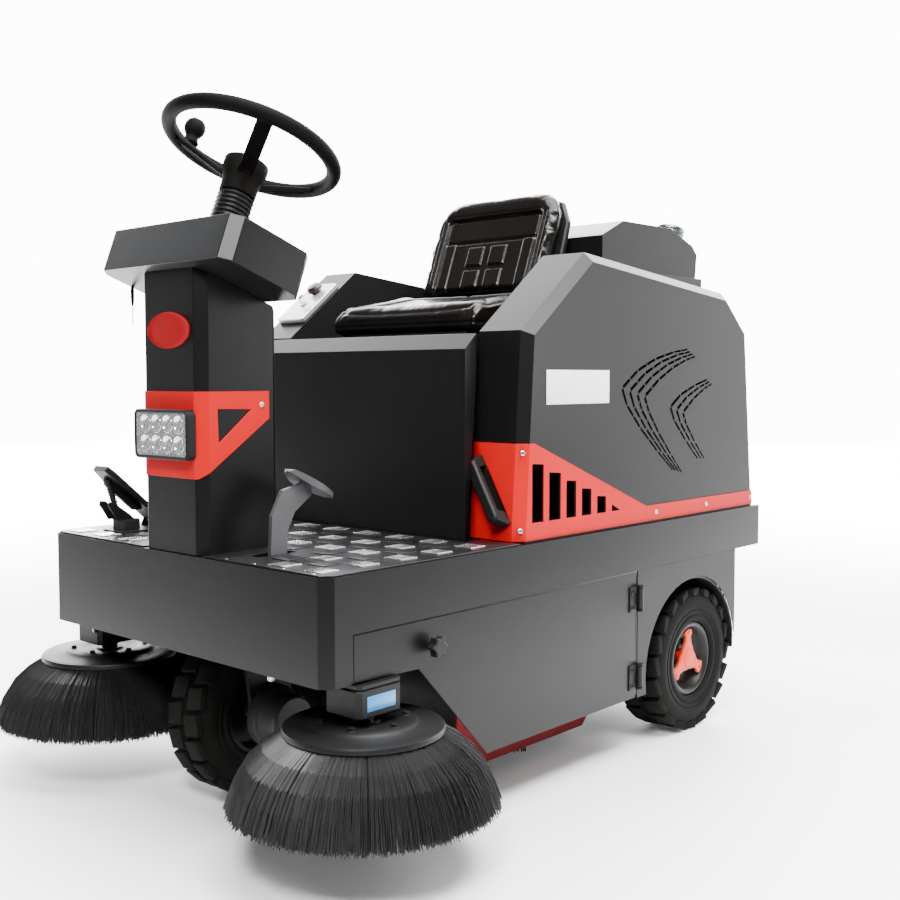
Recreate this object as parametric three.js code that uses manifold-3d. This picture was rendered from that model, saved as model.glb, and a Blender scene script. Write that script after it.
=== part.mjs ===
// Ride-on sweeper: a standalone three.js model, in millimetres, +Z up.
// X runs across the machine (+X is its left side), Y from the front apron to the rear,
// Z up from the floor. The origin is the middle of the footprint, on the floor.
import * as THREE from 'three';
import { mergeVertices } from 'three/addons/utils/BufferGeometryUtils.js';
import Module from 'manifold-3d';

const wasm = await Module();
wasm.setup();

// ---------------------------------------------------------------- driving dimensions
const GAP = 0.3;
const SHEET = 3;
const FAR = 2000;
const ROUND_SIDES = 16;

const deck = {
  length: 1480, halfWidth: 430, top: 516, apronBottom: 332, bandBottom: 416,
  corner: 20, returnDepth: 60,
};
const tread = { thickness: 3, rear: 508, setback: 4, pocket: 3 };
const framePlate = {
  x: 300, thickness: 6, front: 250, rear: 1470, rail: 440, drop: 120, axleHalf: 80, shoulder: 40,
  tie: 40, tieY: 912, slope: 20, bayMargin: 5, runnerDrop: 30,
};

const frontWheel = { x: -42, y: 214, radius: 168, width: 96, rimRadius: 84, axle: 18 };
const kingpin = { radius: 20, yoke: 400, yokeThickness: 12, bossRadius: 55, bossBottom: 455, top: 505 };
const sprocket = {
  bottom: 444, thickness: 6, large: 60, small: 30, chain: 6, teeth: 14, smallTeeth: 8, tooth: 5,
  chainSteps: 10,
};
const lowerShaft = { y: 95, radius: 10, bossRadius: 28, bossBottom: 470, bottom: 436, top: 1004 };

const rearWheel = {
  y: 1178, radius: 170, width: 108, inner: 314, rimRadius: 88, axle: 15, flange: 42,
  flangeThickness: 8, axleSetback: 26,
};
const archRadius = 205;
const archCentre = { y: 1158, z: 168 };

const sideBrush = {
  x: 400, y: 112, discRadius: 141, discBottom: 238, discThickness: 14,
  tipRadius: 236, tipBottom: 115, root: 96, shaft: 10, ring: 87, ringRise: 8, mat: 42, sides: 20,
  edge: 4, saucer: 3, bow: 8, seat: 3,
};
const brushMotor = {
  halfX: 44, halfY: 52, bottom: 272, top: 322, rod: 12, neck: 30, flange: 22, flangeDepth: 6,
  corner: 8, chamfer: 3, plateLift: 2, plate: 8,
};
const liftGuide = { radius: 24, bottom: 345, top: 505, rodTop: 500 };

const mainBrush = {
  y: 730, z: 131, radius: 130, core: 60, halfLength: 252, shaft: 14, vanes: 8, steps: 4, sweep: 0.9,
  rootAngle: 0.2, tipAngle: 0.09,
};
const brushHousing = {
  radius: 148, wall: 4, end: 256, endWall: 6, mouth: 60, sides: 24, hangerHalf: 40, hangerInset: 14,
  hangerThickness: 6, hangerRoot: 10,
};
const skirt = {
  front: 500, rear: 960, bottom: 30, top: 170, thickness: 5, corner: 70, cornerSteps: 6, heel: 20,
};

const hopper = {
  halfWidth: 285, front: skirt.rear + 8, rear: 1340, bottom: 70, top: 400, lip: 12, sill: 170,
  handleHalf: 130, handleReach: 42, handleDrop: 66, handleBar: 24, grip: 18, nose: 25,
};
const rail = { height: 12 };

const door = {
  front: 62, rear: 915, top: 414, bottom: 133, thickness: 2.7, frontFoot: 334, rearLean: 4,
  slopeTop: [217, 329], slopeFoot: [404, 132],
};
const doorHinge = { x: 437, y: 917, radius: 7, length: 46, leaf: 29, heights: [355, 181] };
const doorKnobAt = { y: 246, z: 367, radius: 17, lobe: 3, lobes: 6, stand: 10, thickness: 18 };
const rearPanel = { front: 918.5, rear: 1359, bottom: 131, thickness: 2.7 };

const column = { halfWidth: 95, front: 3, rear: 188, corner: 18, wall: 3, overrun: 40 };
const trim = {
  thickness: 2, columnTop: 816, columnRear: 158, columnBottom: 657, cheekFoot: [22, 669],
  cheekRear: 764, window: [[39, 784], [115, 782], [41, 722]],
};
const lamp = {
  halfWidth: 84.5, bottom: 691, top: 783, depth: 20, border: 7, lens: 5, tray: 9, corner: 8,
  trayCorner: 5, chamfer: 2,
};
const head = {
  halfWidth: 200, depth: 188, height: 84, front: -20.4, bottom: 1047, tilt: 20.2, corner: 20,
  mouthSide: 20, mouthFront: 45, mouthRear: 25,
};

const steering = {
  y: 200, z: 1286, tilt: 22, rim: 167, tube: 12.5, hub: 40, hubTop: -11, hubBottom: -91,
  shaft: 10, bellows: 35, ribs: 3, bellowsBottom: -215, spokeHalf: 11, spokeDepth: 10,
  spokeRoot: 14, spokeAngles: [-30, -150, 90], spokeCut: 3, gripSides: 8, gripSteps: 28,
  yokeHalf: 16, yokeHalfDepth: 9, yokeLength: 14,
};
const hubProfile = [[32, 0], [36, 30], [40, 50], [40, 72], [30, 80], [0, 83]];
const bellowsForm = { foot: 14, footLip: 3, footRise: 10, waist: 6, clearance: 6 };
const spinner = { angle: -167 };
const knobProfile = [
  [0, 0], [15, 0], [11, 8], [11, 18], [16, 24], [20, 34], [18, 46], [11, 53], [0, 56],
];

const hood = {
  front: 457, rear: 1000, panHalf: 327, bodyHalf: 290, shoulder: 897, top: 928, slope: 33,
  panFoot: 4, panDrop: 60,
};
const battery = {
  halfWidth: 210, front: 540, rear: 880, height: 232, corner: 10, lidInset: 4, lidRise: 12,
  lidCorner: 8,
};
const seat = {
  halfWidth: 237, front: 597, rear: 905, frontTop: 998, rearTop: 1050, pan: 12, round: 12,
  plateHalf: 210, plateSetback: 24, plateCorner: 30, strapX: 110, strapHalf: 20,
};
const back = {
  y: 885, z: 1051, recline: 17.5, height: 239, halfWidth: 197, topHalf: 147, pad: 38, shoulder: 62,
  shell: 18, strap: 6,
};

const fairing = { inner: 293, outer: 419, chamfer: 20, foot: 60, mouth: [540, 1440], footFlange: 20 };
const fairingProfile = [
  [512, deck.top + GAP], [539, 934], [748, 1101], [1323, 1047], [1429, 959], [1476, deck.top + GAP],
];
const redBand = {
  bottom: 520, strip: 555, frontTop: 712, diagonalFoot: 964, diagonalHead: 557, rear: 1473,
  slotFall: 3,
  slots: [[550, 587, 672], [605, 643, 652], [663, 696, 632], [717, 750, 612], [772, 804, 592]],
  slotEnd: [[827, 555], [858, 555], [827, 570]],
};

// Each swept chevron has an upper and a lower arm that leave one apex. An arm is given by the
// apex, the middle and the tip of its first and its last row of slots, as (y, z) points.
const chevrons = [
  {
    rows: 4,
    slots: 4,
    upper: [[[866, 818], [976, 876], [1138, 907]], [[955, 799], [1055, 857], [1172, 891]]],
    lower: [[[866, 818], [919, 747], [1079, 627]], [[955, 799], [1000, 732], [1118, 619]]],
  },
  {
    rows: 3,
    slots: 3,
    upper: [[[1064, 774], [1124, 808], [1230, 837]], [[1119, 760], [1179, 799], [1252, 827]]],
    lower: [[[1064, 774], [1093, 730], [1191, 647]], [[1119, 760], [1143, 721], [1220, 646]]],
  },
];
const vent = { widthAtApex: 8.5, widthAtTip: 4, bridge: 5, apexGap: 5, crowding: 1.25 };

const filterHousing = {
  halfWidth: 290, front: 1006, rear: 1420, top: 1093.7, ledgeDrop: 96, ledge: 5, ledgeReach: 26,
};
const filterElement = { margin: 10, end: 12, flat: 20, pleats: 18, body: 44, crest: 60 };
const filterCover = { halfWidth: 269, bottom: 1094 };
const coverProfile = [
  [1003, filterCover.bottom], [1003, 1171], [1090, 1212], [1301, 1214], [1407, 1179],
  [1431, 1158], [1424, filterCover.bottom],
];

const frontReach = sideBrush.y - sideBrush.tipRadius;
const originY = (frontReach + deck.length) / 2;

// ---------------------------------------------------------------- shape helpers
function outline(points) {
  return new THREE.Shape(points.map(([a, b]) => new THREE.Vector2(a, b)));
}

function extruded(points, depth, chamfer, axes) {
  const geometry = new THREE.ExtrudeGeometry(outline(points), {
    depth: depth - 2 * chamfer,
    bevelEnabled: chamfer > 0,
    bevelThickness: chamfer,
    bevelSize: chamfer,
    bevelOffset: -chamfer,
    bevelSegments: 1,
    curveSegments: 12,
  });
  geometry.translate(0, 0, chamfer);
  return geometry.applyMatrix4(axes);
}

const X = new THREE.Vector3(1, 0, 0);
const Y = new THREE.Vector3(0, 1, 0);
const Z = new THREE.Vector3(0, 0, 1);

/** A (y, z) outline extruded from x0 to x1. */
function alongX(points, x0, x1, chamfer = 0) {
  const axes = new THREE.Matrix4().makeBasis(Y, Z, X);
  return extruded(points, x1 - x0, chamfer, axes).translate(x0, 0, 0);
}

/** An (x, z) outline extruded from y0 to y1. */
function alongY(points, y0, y1, chamfer = 0) {
  const axes = new THREE.Matrix4().makeBasis(X, Z, Y.clone().negate());
  return extruded(points, y1 - y0, chamfer, axes).translate(0, y1, 0);
}

/** An (x, y) outline extruded from z0 to z1. */
function alongZ(points, z0, z1, chamfer = 0) {
  return extruded(points, z1 - z0, chamfer, new THREE.Matrix4()).translate(0, 0, z0);
}

function block(x0, x1, y0, y1, z0, z1) {
  const geometry = new THREE.BoxGeometry(x1 - x0, y1 - y0, z1 - z0);
  return geometry.translate((x0 + x1) / 2, (y0 + y1) / 2, (z0 + z1) / 2);
}

/** A round bar between two points. */
function rod(from, to, radius, sides = ROUND_SIDES) {
  const a = new THREE.Vector3(...from);
  const b = new THREE.Vector3(...to);
  const geometry = new THREE.CylinderGeometry(radius, radius, a.distanceTo(b), sides);
  const turn = new THREE.Quaternion().setFromUnitVectors(Y, b.clone().sub(a).normalize());
  geometry.applyQuaternion(turn);
  const middle = a.add(b).multiplyScalar(0.5);
  return geometry.translate(middle.x, middle.y, middle.z);
}

/** Corner radius of a faceted hole whose flats clear a round pin that turns in it. */
function boreRadius(pin, sides = ROUND_SIDES) {
  return (pin + GAP) / Math.cos(Math.PI / sides);
}

/** The hole between two points for a pin of the given radius. */
function bore(from, to, pin) {
  return rod(from, to, boreRadius(pin));
}

/** A (radius, height) profile turned about Z. */
function turned(profile, sides = 32) {
  const points = profile.map(([r, z]) => new THREE.Vector2(r, z));
  return new THREE.LatheGeometry(points, sides).rotateX(Math.PI / 2);
}

/** The same profile turned about X, with its height running along +X. */
function turnedX(profile, sides = 32) {
  return turned(profile, sides).rotateY(Math.PI / 2);
}

/** A convex outline moved inwards by a distance, or outwards where it is negative. */
function inset(points, distance) {
  const flat = points.map(([a, b]) => new THREE.Vector2(a, b));
  const side = Math.sign(THREE.ShapeUtils.area(flat));
  const normals = flat.map((point, i) => {
    const edge = flat[(i + 1) % flat.length].clone().sub(point).normalize();
    return new THREE.Vector2(-edge.y * side, edge.x * side);
  });
  return flat.map((point, i) => {
    const before = normals[(i + flat.length - 1) % flat.length];
    const after = normals[i];
    const shift = before.clone().add(after).multiplyScalar(distance / (1 + before.dot(after)));
    return [point.x + shift.x, point.y + shift.y];
  });
}

/** A rectangle whose four corners are cut at 45 degrees. */
function chamfered(a0, a1, b0, b1, cut) {
  return [
    [a0 + cut, b0], [a1 - cut, b0], [a1, b0 + cut], [a1, b1 - cut],
    [a1 - cut, b1], [a0 + cut, b1], [a0, b1 - cut], [a0, b0 + cut],
  ];
}

function signedVolume(position, index) {
  const [a, b, c] = [new THREE.Vector3(), new THREE.Vector3(), new THREE.Vector3()];
  let volume = 0;
  for (let i = 0; i < index.length; i += 3) {
    a.fromBufferAttribute(position, index[i]);
    b.fromBufferAttribute(position, index[i + 1]);
    c.fromBufferAttribute(position, index[i + 2]);
    volume += a.dot(b.cross(c)) / 6;
  }
  return volume;
}

/** A closed geometry with shared vertices, no empty triangles and its faces pointing out. */
function solid(geometry) {
  const bare = geometry.clone();
  bare.deleteAttribute('normal');
  bare.deleteAttribute('uv');
  const welded = mergeVertices(bare, 1e-3);
  const kept = [];
  const source = welded.index.array;
  for (let i = 0; i < source.length; i += 3) {
    const [a, b, c] = [source[i], source[i + 1], source[i + 2]];
    if (a !== b && b !== c && c !== a) {
      kept.push(a, b, c);
    }
  }
  if (signedVolume(welded.attributes.position, kept) < 0) {
    kept.reverse();
  }
  return new wasm.Manifold(new wasm.Mesh({
    numProp: 3,
    vertProperties: new Float32Array(welded.attributes.position.array),
    triVerts: new Uint32Array(kept),
  }));
}

function geometryOf(manifold) {
  const mesh = manifold.getMesh();
  const geometry = new THREE.BufferGeometry();
  geometry.setAttribute('position', new THREE.BufferAttribute(mesh.vertProperties, 3));
  geometry.setIndex(new THREE.BufferAttribute(mesh.triVerts, 1));
  geometry.computeVertexNormals();
  return geometry;
}

function join(...geometries) {
  return geometryOf(geometries.map(solid).reduce((whole, next) => whole.add(next)));
}

function cut(geometry, ...tools) {
  const tool = tools.map(solid).reduce((whole, next) => whole.add(next));
  return geometryOf(solid(geometry).subtract(tool));
}

function common(geometry, other) {
  return geometryOf(solid(geometry).intersect(solid(other)));
}

function mirrored(geometry) {
  return geometryOf(solid(geometry.clone().scale(-1, 1, 1)));
}

function times(count, make) {
  return Array.from({ length: count }, (_, i) => make(i));
}

const degrees = THREE.MathUtils.degToRad;

// ---------------------------------------------------------------- scene graph
const root = new THREE.Group();
root.position.y = -originY;

function group(x, y, z, tiltX = 0, turnY = 0) {
  const frame = new THREE.Group();
  frame.position.set(x, y, z);
  frame.rotation.set(degrees(tiltX), degrees(turnY), 0);
  root.add(frame);
  return frame;
}

const graphite = [0x3d3f42, 0.45, 0.35];
const black = [0x141414, 0.6, 0];
const red = [0xd81e16, 0.35, 0.1];
const rubber = [0x1a1a1b, 0.85, 0];
const steel = [0xa8abae, 0.35, 0.9];
const chrome = [0xd8dadc, 0.12, 1];

function part(name, geometry, [color, roughness, metalness], parent = root) {
  const material = new THREE.MeshStandardMaterial({ color, roughness, metalness });
  const mesh = new THREE.Mesh(geometryOf(solid(geometry)), material);
  mesh.name = name;
  parent.add(mesh);
  return mesh;
}

/** A part on the left (+X) side and its mirror image on the right. */
function pair(name, geometry, finish) {
  part(`${name}_left`, geometry, finish);
  part(`${name}_right`, mirrored(geometry), finish);
}

// ---------------------------------------------------------------- chassis
const deckPlan = [
  [-deck.halfWidth + deck.corner, 0], [deck.halfWidth - deck.corner, 0],
  [deck.halfWidth, deck.corner], [deck.halfWidth, deck.length],
  [-deck.halfWidth, deck.length], [-deck.halfWidth, deck.corner],
];

/** Folded sheet tray: deep front apron, shallower band along the sides and rear. */
function tray() {
  const outer = alongZ(deckPlan, deck.apronBottom, deck.top);
  const inner = alongZ(inset(deckPlan, SHEET), deck.apronBottom - 1, deck.top - SHEET);
  const aboveBand = block(-FAR, FAR, deck.returnDepth, FAR, deck.apronBottom - 1, deck.bandBottom);
  return cut(outer, inner, aboveBand);
}

/** Upright plate that carries the rear axle, the hopper rail and the deck. */
function sidePlate() {
  const { x, thickness, front, rear, rail: railLevel, drop, axleHalf, shoulder } = framePlate;
  const { slope, bayMargin, runnerDrop } = framePlate;
  const seatOfDeck = deck.top - SHEET - GAP;
  const runnerLevel = hopper.top - runnerDrop;
  const [bayFront, bayRear] = [hopper.front - bayMargin, hopper.rear + bayMargin];
  const plate = alongX([
    [front, seatOfDeck], [front, railLevel], [bayFront - slope, railLevel], [bayFront, runnerLevel],
    [rearWheel.y - axleHalf - shoulder, runnerLevel], [rearWheel.y - axleHalf, drop],
    [rearWheel.y + axleHalf, drop], [rearWheel.y + axleHalf + shoulder, runnerLevel],
    [bayRear, runnerLevel], [bayRear + slope, railLevel], [rear, railLevel], [rear, seatOfDeck],
  ], x, x + thickness);
  const lipBottom = hopper.top - SHEET - GAP;
  const runner = block(hopper.halfWidth + SHEET, x + 1, hopper.front, hopper.rear,
    lipBottom - rail.height, lipBottom);
  return join(plate, runner, stubAxle());
}

/** Flanged stub axle of a rear wheel. */
function stubAxle() {
  const { y, radius: z, axle, flange, flangeThickness, axleSetback } = rearWheel;
  const start = framePlate.x + framePlate.thickness - 1;
  const end = rearWheel.inner + rearWheel.width - axleSetback;
  return join(rod([start, y, z], [start + flangeThickness, y, z], flange),
    rod([start, y, z], [end, y, z], axle));
}

function boss(x, y, radius, bottom) {
  return rod([x, y, bottom], [x, y, deck.top - 1], radius);
}

const brake = {
  x: 166, halfSlot: 16, slotFront: 62, slotRear: 152, pivotY: 128, pivotZ: 440, pin: 8, ear: 8,
  earGap: 4, earHalf: 25, earFoot: 20,
  barHalf: 4.5, hub: 18, padHalf: 31,
  arm: [[138, 516], [141, 562], [157, 592], [200, 622], [192, 648], [128, 634], [103, 588], [99, 516]],
  pad: [[143, 668], [150, 672], [250, 618], [245, 611], [181, 640], [168, 648]],
};

/** Ear and pin below the deck on which the brake pedal swings. */
function brakePivot() {
  const { x, halfSlot, pivotY, pivotZ, earGap, earHalf, earFoot } = brake;
  const inner = x + halfSlot + earGap;
  const ear = block(inner, inner + brake.ear, pivotY - earHalf, pivotY + earHalf,
    pivotZ - earFoot, deck.top - 1);
  const pin = rod([x - halfSlot, pivotY, pivotZ], [inner + 1, pivotY, pivotZ], brake.pin);
  return join(ear, pin);
}

function brakeSlot() {
  return block(brake.x - brake.halfSlot, brake.x + brake.halfSlot,
    brake.slotFront, brake.slotRear, deck.top - SHEET - 1, deck.top + tread.thickness + 1);
}

function deckFrame() {
  const guides = [-1, 1].map((s) => boss(s * sideBrush.x, sideBrush.y, liftGuide.radius, liftGuide.bottom));
  const welded = join(
    tray(), brakePivot(), ...guides,
    boss(0, frontWheel.y, kingpin.bossRadius, kingpin.bossBottom),
    boss(0, lowerShaft.y, lowerShaft.bossRadius, lowerShaft.bossBottom),
  );
  const rodBores = [-1, 1].map((s) => bore([s * sideBrush.x, sideBrush.y, liftGuide.bottom - 1],
    [s * sideBrush.x, sideBrush.y, liftGuide.top], brushMotor.rod));
  return cut(
    welded, brakeSlot(), ...rodBores,
    bore([0, frontWheel.y, kingpin.bossBottom - 1], [0, frontWheel.y, kingpin.top + 3],
      kingpin.radius),
    bore([0, lowerShaft.y, lowerShaft.bossBottom - 1], [0, lowerShaft.y, deck.top + 1],
      lowerShaft.radius),
  );
}

part('deck_frame', deckFrame(), graphite);

/** Both side plates, tied together by a cross tube behind the main brush. */
function axleFrame() {
  const plate = sidePlate();
  const { x, tie, tieY } = framePlate;
  const top = deck.top - SHEET - GAP;
  const tube = block(-x - 1, x + 1, tieY - tie / 2, tieY + tie / 2, top - tie, top);
  return join(plate, mirrored(plate), tube);
}

part('axle_frame', axleFrame(), [0x2f3133, 0.5, 0.5]);

/** Aluminium floor sheet, notched round the column and the hood pan. */
function treadPlate() {
  const bottom = deck.top + GAP;
  const top = bottom + tread.thickness;
  const front = inset(deckPlan, tread.setback);
  const sheet = common(alongZ(front, bottom, top), block(-FAR, FAR, 0, tread.rear, 0, FAR));
  const footwell = block(-hood.panHalf - tread.pocket, hood.panHalf + tread.pocket,
    hood.front - 2, FAR, 0, FAR);
  const columnHole = block(-column.halfWidth - GAP, column.halfWidth + GAP,
    column.front - tread.pocket, column.rear + GAP, 0, FAR);
  return cut(sheet, footwell, columnHole, brakeSlot());
}

part('tread_plate', treadPlate(), [0xc9ccce, 0.3, 0.9]);

// ---------------------------------------------------------------- side doors and rear panels
const skinOuter = deck.halfWidth;

/** Flat door under the side band, its front lower corner cut away over the side brush. */
function sideDoor() {
  const profile = [
    [door.front, deck.bandBottom - GAP], [door.rear, door.top], [door.rear - door.rearLean, door.bottom],
    door.slopeFoot, door.slopeTop, [door.front, door.frontFoot],
  ];
  return join(alongX(profile, skinOuter - door.thickness, skinOuter), doorKnob());
}

/** Rear corner skin with the wheel arch and the two hinge barrels of the door. */
function rearSidePanel() {
  const skin = alongX([
    [rearPanel.front, deck.bandBottom - GAP], [rearPanel.front, rearPanel.bottom],
    [rearPanel.rear, rearPanel.bottom], [rearPanel.rear, deck.bandBottom - GAP],
  ], skinOuter - rearPanel.thickness, skinOuter);
  const arch = rod([skinOuter - 20, archCentre.y, archCentre.z],
    [skinOuter + 20, archCentre.y, archCentre.z], archRadius, 40);
  const { x, y, radius, length, leaf } = doorHinge;
  const [pinY, leafY] = [y + 1, y + 3];
  const barrels = doorHinge.heights.map((z) => {
    const [low, high] = [z - length / 2, z + length / 2];
    return join(
      rod([x, pinY, low], [x, pinY, high], radius, 12),
      block(skinOuter - 1, x, leafY, leafY + 5, low, high),
      block(skinOuter - 1, skinOuter + 2, leafY, leafY + leaf, low, high),
    );
  });
  return join(cut(skin, arch), ...barrels);
}

/** Star knob that screws the door to the side. */
function doorKnob() {
  const { y, z, radius, lobe, lobes, stand, thickness } = doorKnobAt;
  const star = times(lobes * 2, (i) => {
    const angle = (i / (lobes * 2)) * 2 * Math.PI;
    const reach = radius + lobe * Math.cos(lobes * angle);
    return [y + reach * Math.cos(angle), z + reach * Math.sin(angle)];
  });
  const grip = alongX(star, skinOuter + stand, skinOuter + stand + thickness, 2);
  const collar = rod([skinOuter - 1, y, z], [skinOuter + stand + 1, y, z], radius / 2, 12);
  return join(grip, collar);
}

pair('side_door', sideDoor(), graphite);
pair('rear_side_panel', rearSidePanel(), graphite);

// ---------------------------------------------------------------- wheels
const tyreForm = {
  lugs: 12, beadInset: 8, beadDepth: 14, shoulderDrop: 12, shoulder: 16, grooveDepth: 8,
  grooveShare: 0.36, grooveSlant: 0.22,
};

/** Tyre about the X axis, middle plane at x = 0, with grooves cut into both shoulders in turn. */
function tyre(radius, width, rimRadius) {
  const { lugs, beadInset, beadDepth, shoulderDrop, shoulder } = tyreForm;
  const sides = lugs * 2;
  const half = width / 2;
  const bead = boreRadius(rimRadius, sides);
  const body = turnedX([
    [bead, -half + beadInset], [bead + beadDepth, -half], [radius - shoulderDrop, -half + 1],
    [radius, -half + shoulder], [radius, half - shoulder], [radius - shoulderDrop, half - 1],
    [bead + beadDepth, half], [bead, half - beadInset], [bead, -half + beadInset],
  ], sides);
  const { grooveDepth, grooveShare, grooveSlant } = tyreForm;
  const grooveWidth = ((2 * Math.PI * radius) / lugs) * grooveShare;
  const grooves = times(sides, (i) => {
    const side = i % 2 === 0 ? 1 : -1;
    const groove = new THREE.BoxGeometry(half * 0.86, grooveWidth, 2 * grooveDepth);
    groove.rotateZ(side * grooveSlant);
    groove.translate(side * half * 0.7, 0, radius);
    return groove.rotateX((i / sides) * 2 * Math.PI);
  });
  return cut(body, ...grooves);
}

const rimForm = { sides: ROUND_SIDES, clearance: 9, lip: 8, hubWall: 14, dish: 28, well: 40, slope: 16 };

/** Pressed rim about the X axis, its open dish towards +X, with a hole for the axle. */
function rim(radius, width, hole) {
  const { sides, clearance, lip, hubWall, dish, well, slope } = rimForm;
  const half = width / 2 - clearance;
  return turnedX([
    [hole, -half + lip], [hole + hubWall, -half + lip], [hole + hubWall, half - dish],
    [radius - lip - 2, half - well], [radius - lip - 2, -half], [radius, -half], [radius, half],
    [radius - lip, half], [radius - 3 * lip, half - slope], [hole, half - slope],
    [hole, -half + lip],
  ], sides);
}

/** One arm of the hub cap as (radians from its middle, share of the reach). */
const hubCapForm = {
  arms: 3, reach: 52, depth: 14, chamfer: 3,
  arm: [[-0.5, 0.5], [-0.2, 0.94], [0, 1], [0.2, 0.94], [0.5, 0.5], [Math.PI / 3, 0.42]],
};

/** Three-armed hub cap about the X axis. */
function hubCap() {
  const { arms, reach, depth, chamfer, arm } = hubCapForm;
  const star = times(arms, (k) => arm.map(([angle, share]) => {
    const turn = Math.PI / 2 + (k / arms) * 2 * Math.PI + angle;
    return [share * reach * Math.cos(turn), share * reach * Math.sin(turn)];
  })).flat();
  return alongX(star, 0, depth, chamfer);
}

const rearTyre = tyre(rearWheel.radius, rearWheel.width, rearWheel.rimRadius);
const rearRim = rim(rearWheel.rimRadius, rearWheel.width, boreRadius(rearWheel.axle));

for (const [side, sign] of [['left', 1], ['right', -1]]) {
  const hub = group(0, rearWheel.y, rearWheel.radius);
  const middle = sign * (rearWheel.inner + rearWheel.width / 2);
  const shape = (geometry) => (sign > 0 ? geometry : mirrored(geometry));
  part(`rear_tyre_${side}`, shape(rearTyre), rubber, hub).position.x = middle;
  part(`rear_rim_${side}`, shape(rearRim), black, hub).position.x = middle;
  const capFace = rearWheel.width / 2 - rimForm.clearance - rimForm.slope + GAP;
  part(`hub_cap_${side}`, shape(hubCap()), [0xe8501e, 0.4, 0], hub)
    .position.x = middle + sign * capFace;
}

// ---------------------------------------------------------------- front drive wheel and fork
const fork = {
  side: 8, plate: 10, half: 58, yokeReach: 60, taperFrom: 150, footHalf: 40, footDrop: 60,
  gussetReach: 46, gussetDrop: 66, gussetWidth: 8,
};
const forkPlateX = frontWheel.x + frontWheel.width / 2 + fork.side;
const driveHub = group(frontWheel.x, frontWheel.y, frontWheel.radius);
part('front_tyre', tyre(frontWheel.radius, frontWheel.width, frontWheel.rimRadius),
  rubber, driveHub);
part('front_rim',
  mirrored(rim(frontWheel.rimRadius, frontWheel.width, boreRadius(frontWheel.axle))),
  black, driveHub);

/** Yoke, single leg, kingpin and large sprocket, welded as one. */
function frontFork() {
  const { plate, half, yokeReach, taperFrom, footHalf, footDrop } = fork;
  const yokeTop = kingpin.yoke + kingpin.yokeThickness;
  const foot = -kingpin.yoke + frontWheel.radius - footDrop;
  const leg = alongX([
    [-half, 0], [half, 0], [half, -taperFrom], [footHalf, foot], [-footHalf, foot],
    [-half, -taperFrom],
  ], forkPlateX, forkPlateX + plate).translate(0, frontWheel.y, yokeTop - 1);
  const yoke = block(-yokeReach, forkPlateX + yokeReach, frontWheel.y - half, frontWheel.y + half,
    kingpin.yoke, yokeTop);
  const [gussetX, gussetTop] = [forkPlateX + plate - 1, yokeTop - 4];
  const gusset = alongY([
    [gussetX, gussetTop], [gussetX + fork.gussetReach, gussetTop],
    [gussetX, gussetTop - fork.gussetDrop],
  ], frontWheel.y - half, frontWheel.y - half + fork.gussetWidth);
  const pin = rod([0, frontWheel.y, yokeTop - 1], [0, frontWheel.y, kingpin.top], kingpin.radius);
  const wheel = toothed(sprocket.large, sprocket.teeth, 0, frontWheel.y);
  const axleHole = bore([forkPlateX - plate, frontWheel.y, frontWheel.radius],
    [forkPlateX + 2 * plate, frontWheel.y, frontWheel.radius], frontWheel.axle);
  return cut(join(leg, yoke, gusset, pin, wheel), axleHole);
}

/** Chain wheel outline about (x, y) at the sprocket level. */
function toothed(radius, teeth, x, y) {
  const points = times(teeth * 2, (i) => {
    const angle = (i / (teeth * 2)) * 2 * Math.PI;
    const r = i % 2 === 0 ? radius : radius - sprocket.tooth;
    return [x + r * Math.cos(angle), y + r * Math.sin(angle)];
  });
  return alongZ(points, sprocket.bottom, sprocket.bottom + sprocket.thickness);
}

part('front_fork', frontFork(), [0x2b2c2e, 0.5, 0.5]);

const driveMotorForm = {
  flange: 62, flangeDepth: 22, radius: 52, slope: 6, length: 72, sides: 20, spindleSetback: 24,
};

/** Gear motor with the wheel spindle, about the wheel axis. */
function driveMotor() {
  const { flange, flangeDepth, radius, slope, length, sides, spindleSetback } = driveMotorForm;
  const start = forkPlateX + fork.plate + GAP;
  const end = start + length;
  const spindleEnd = frontWheel.x - frontWheel.width / 2 + spindleSetback;
  const body = turnedX([
    [0, start], [flange, start], [flange, start + flangeDepth],
    [radius, start + flangeDepth + slope], [radius, end - slope], [radius - slope, end], [0, end],
  ], sides);
  return join(body, rod([spindleEnd, 0, 0], [start + 1, 0, 0], frontWheel.axle));
}

const driveAxis = group(0, frontWheel.y, frontWheel.radius);
part('drive_motor', driveMotor(), [0x3a3b3d, 0.5, 0.6], driveAxis);

/** Roller chain drawn as one closed band round both sprockets. */
function steeringChain() {
  const large = [frontWheel.y, sprocket.large];
  const small = [lowerShaft.y, sprocket.small];
  const steps = sprocket.chainSteps;
  const band = (extra) => {
    const spread = Math.asin((large[1] - small[1]) / (large[0] - small[0]));
    const arc = (centre, radius, from, to) => times(steps + 1, (i) => {
      const step = (to - from) / steps;
      const angle = from + step * i;
      const reach = (radius + extra) / Math.cos(step / 2);
      return [reach * Math.cos(angle), centre + reach * Math.sin(angle)];
    });
    return [
      ...arc(large[0], large[1], -spread, Math.PI + spread),
      ...arc(small[0], small[1], Math.PI + spread, 2 * Math.PI - spread),
    ];
  };
  const bottom = sprocket.bottom;
  const top = bottom + sprocket.thickness;
  return cut(alongZ(band(GAP + sprocket.chain), bottom, top), alongZ(band(GAP), bottom - 1, top + 1));
}

part('steering_chain', steeringChain(), [0x55585b, 0.5, 0.8]);

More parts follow.
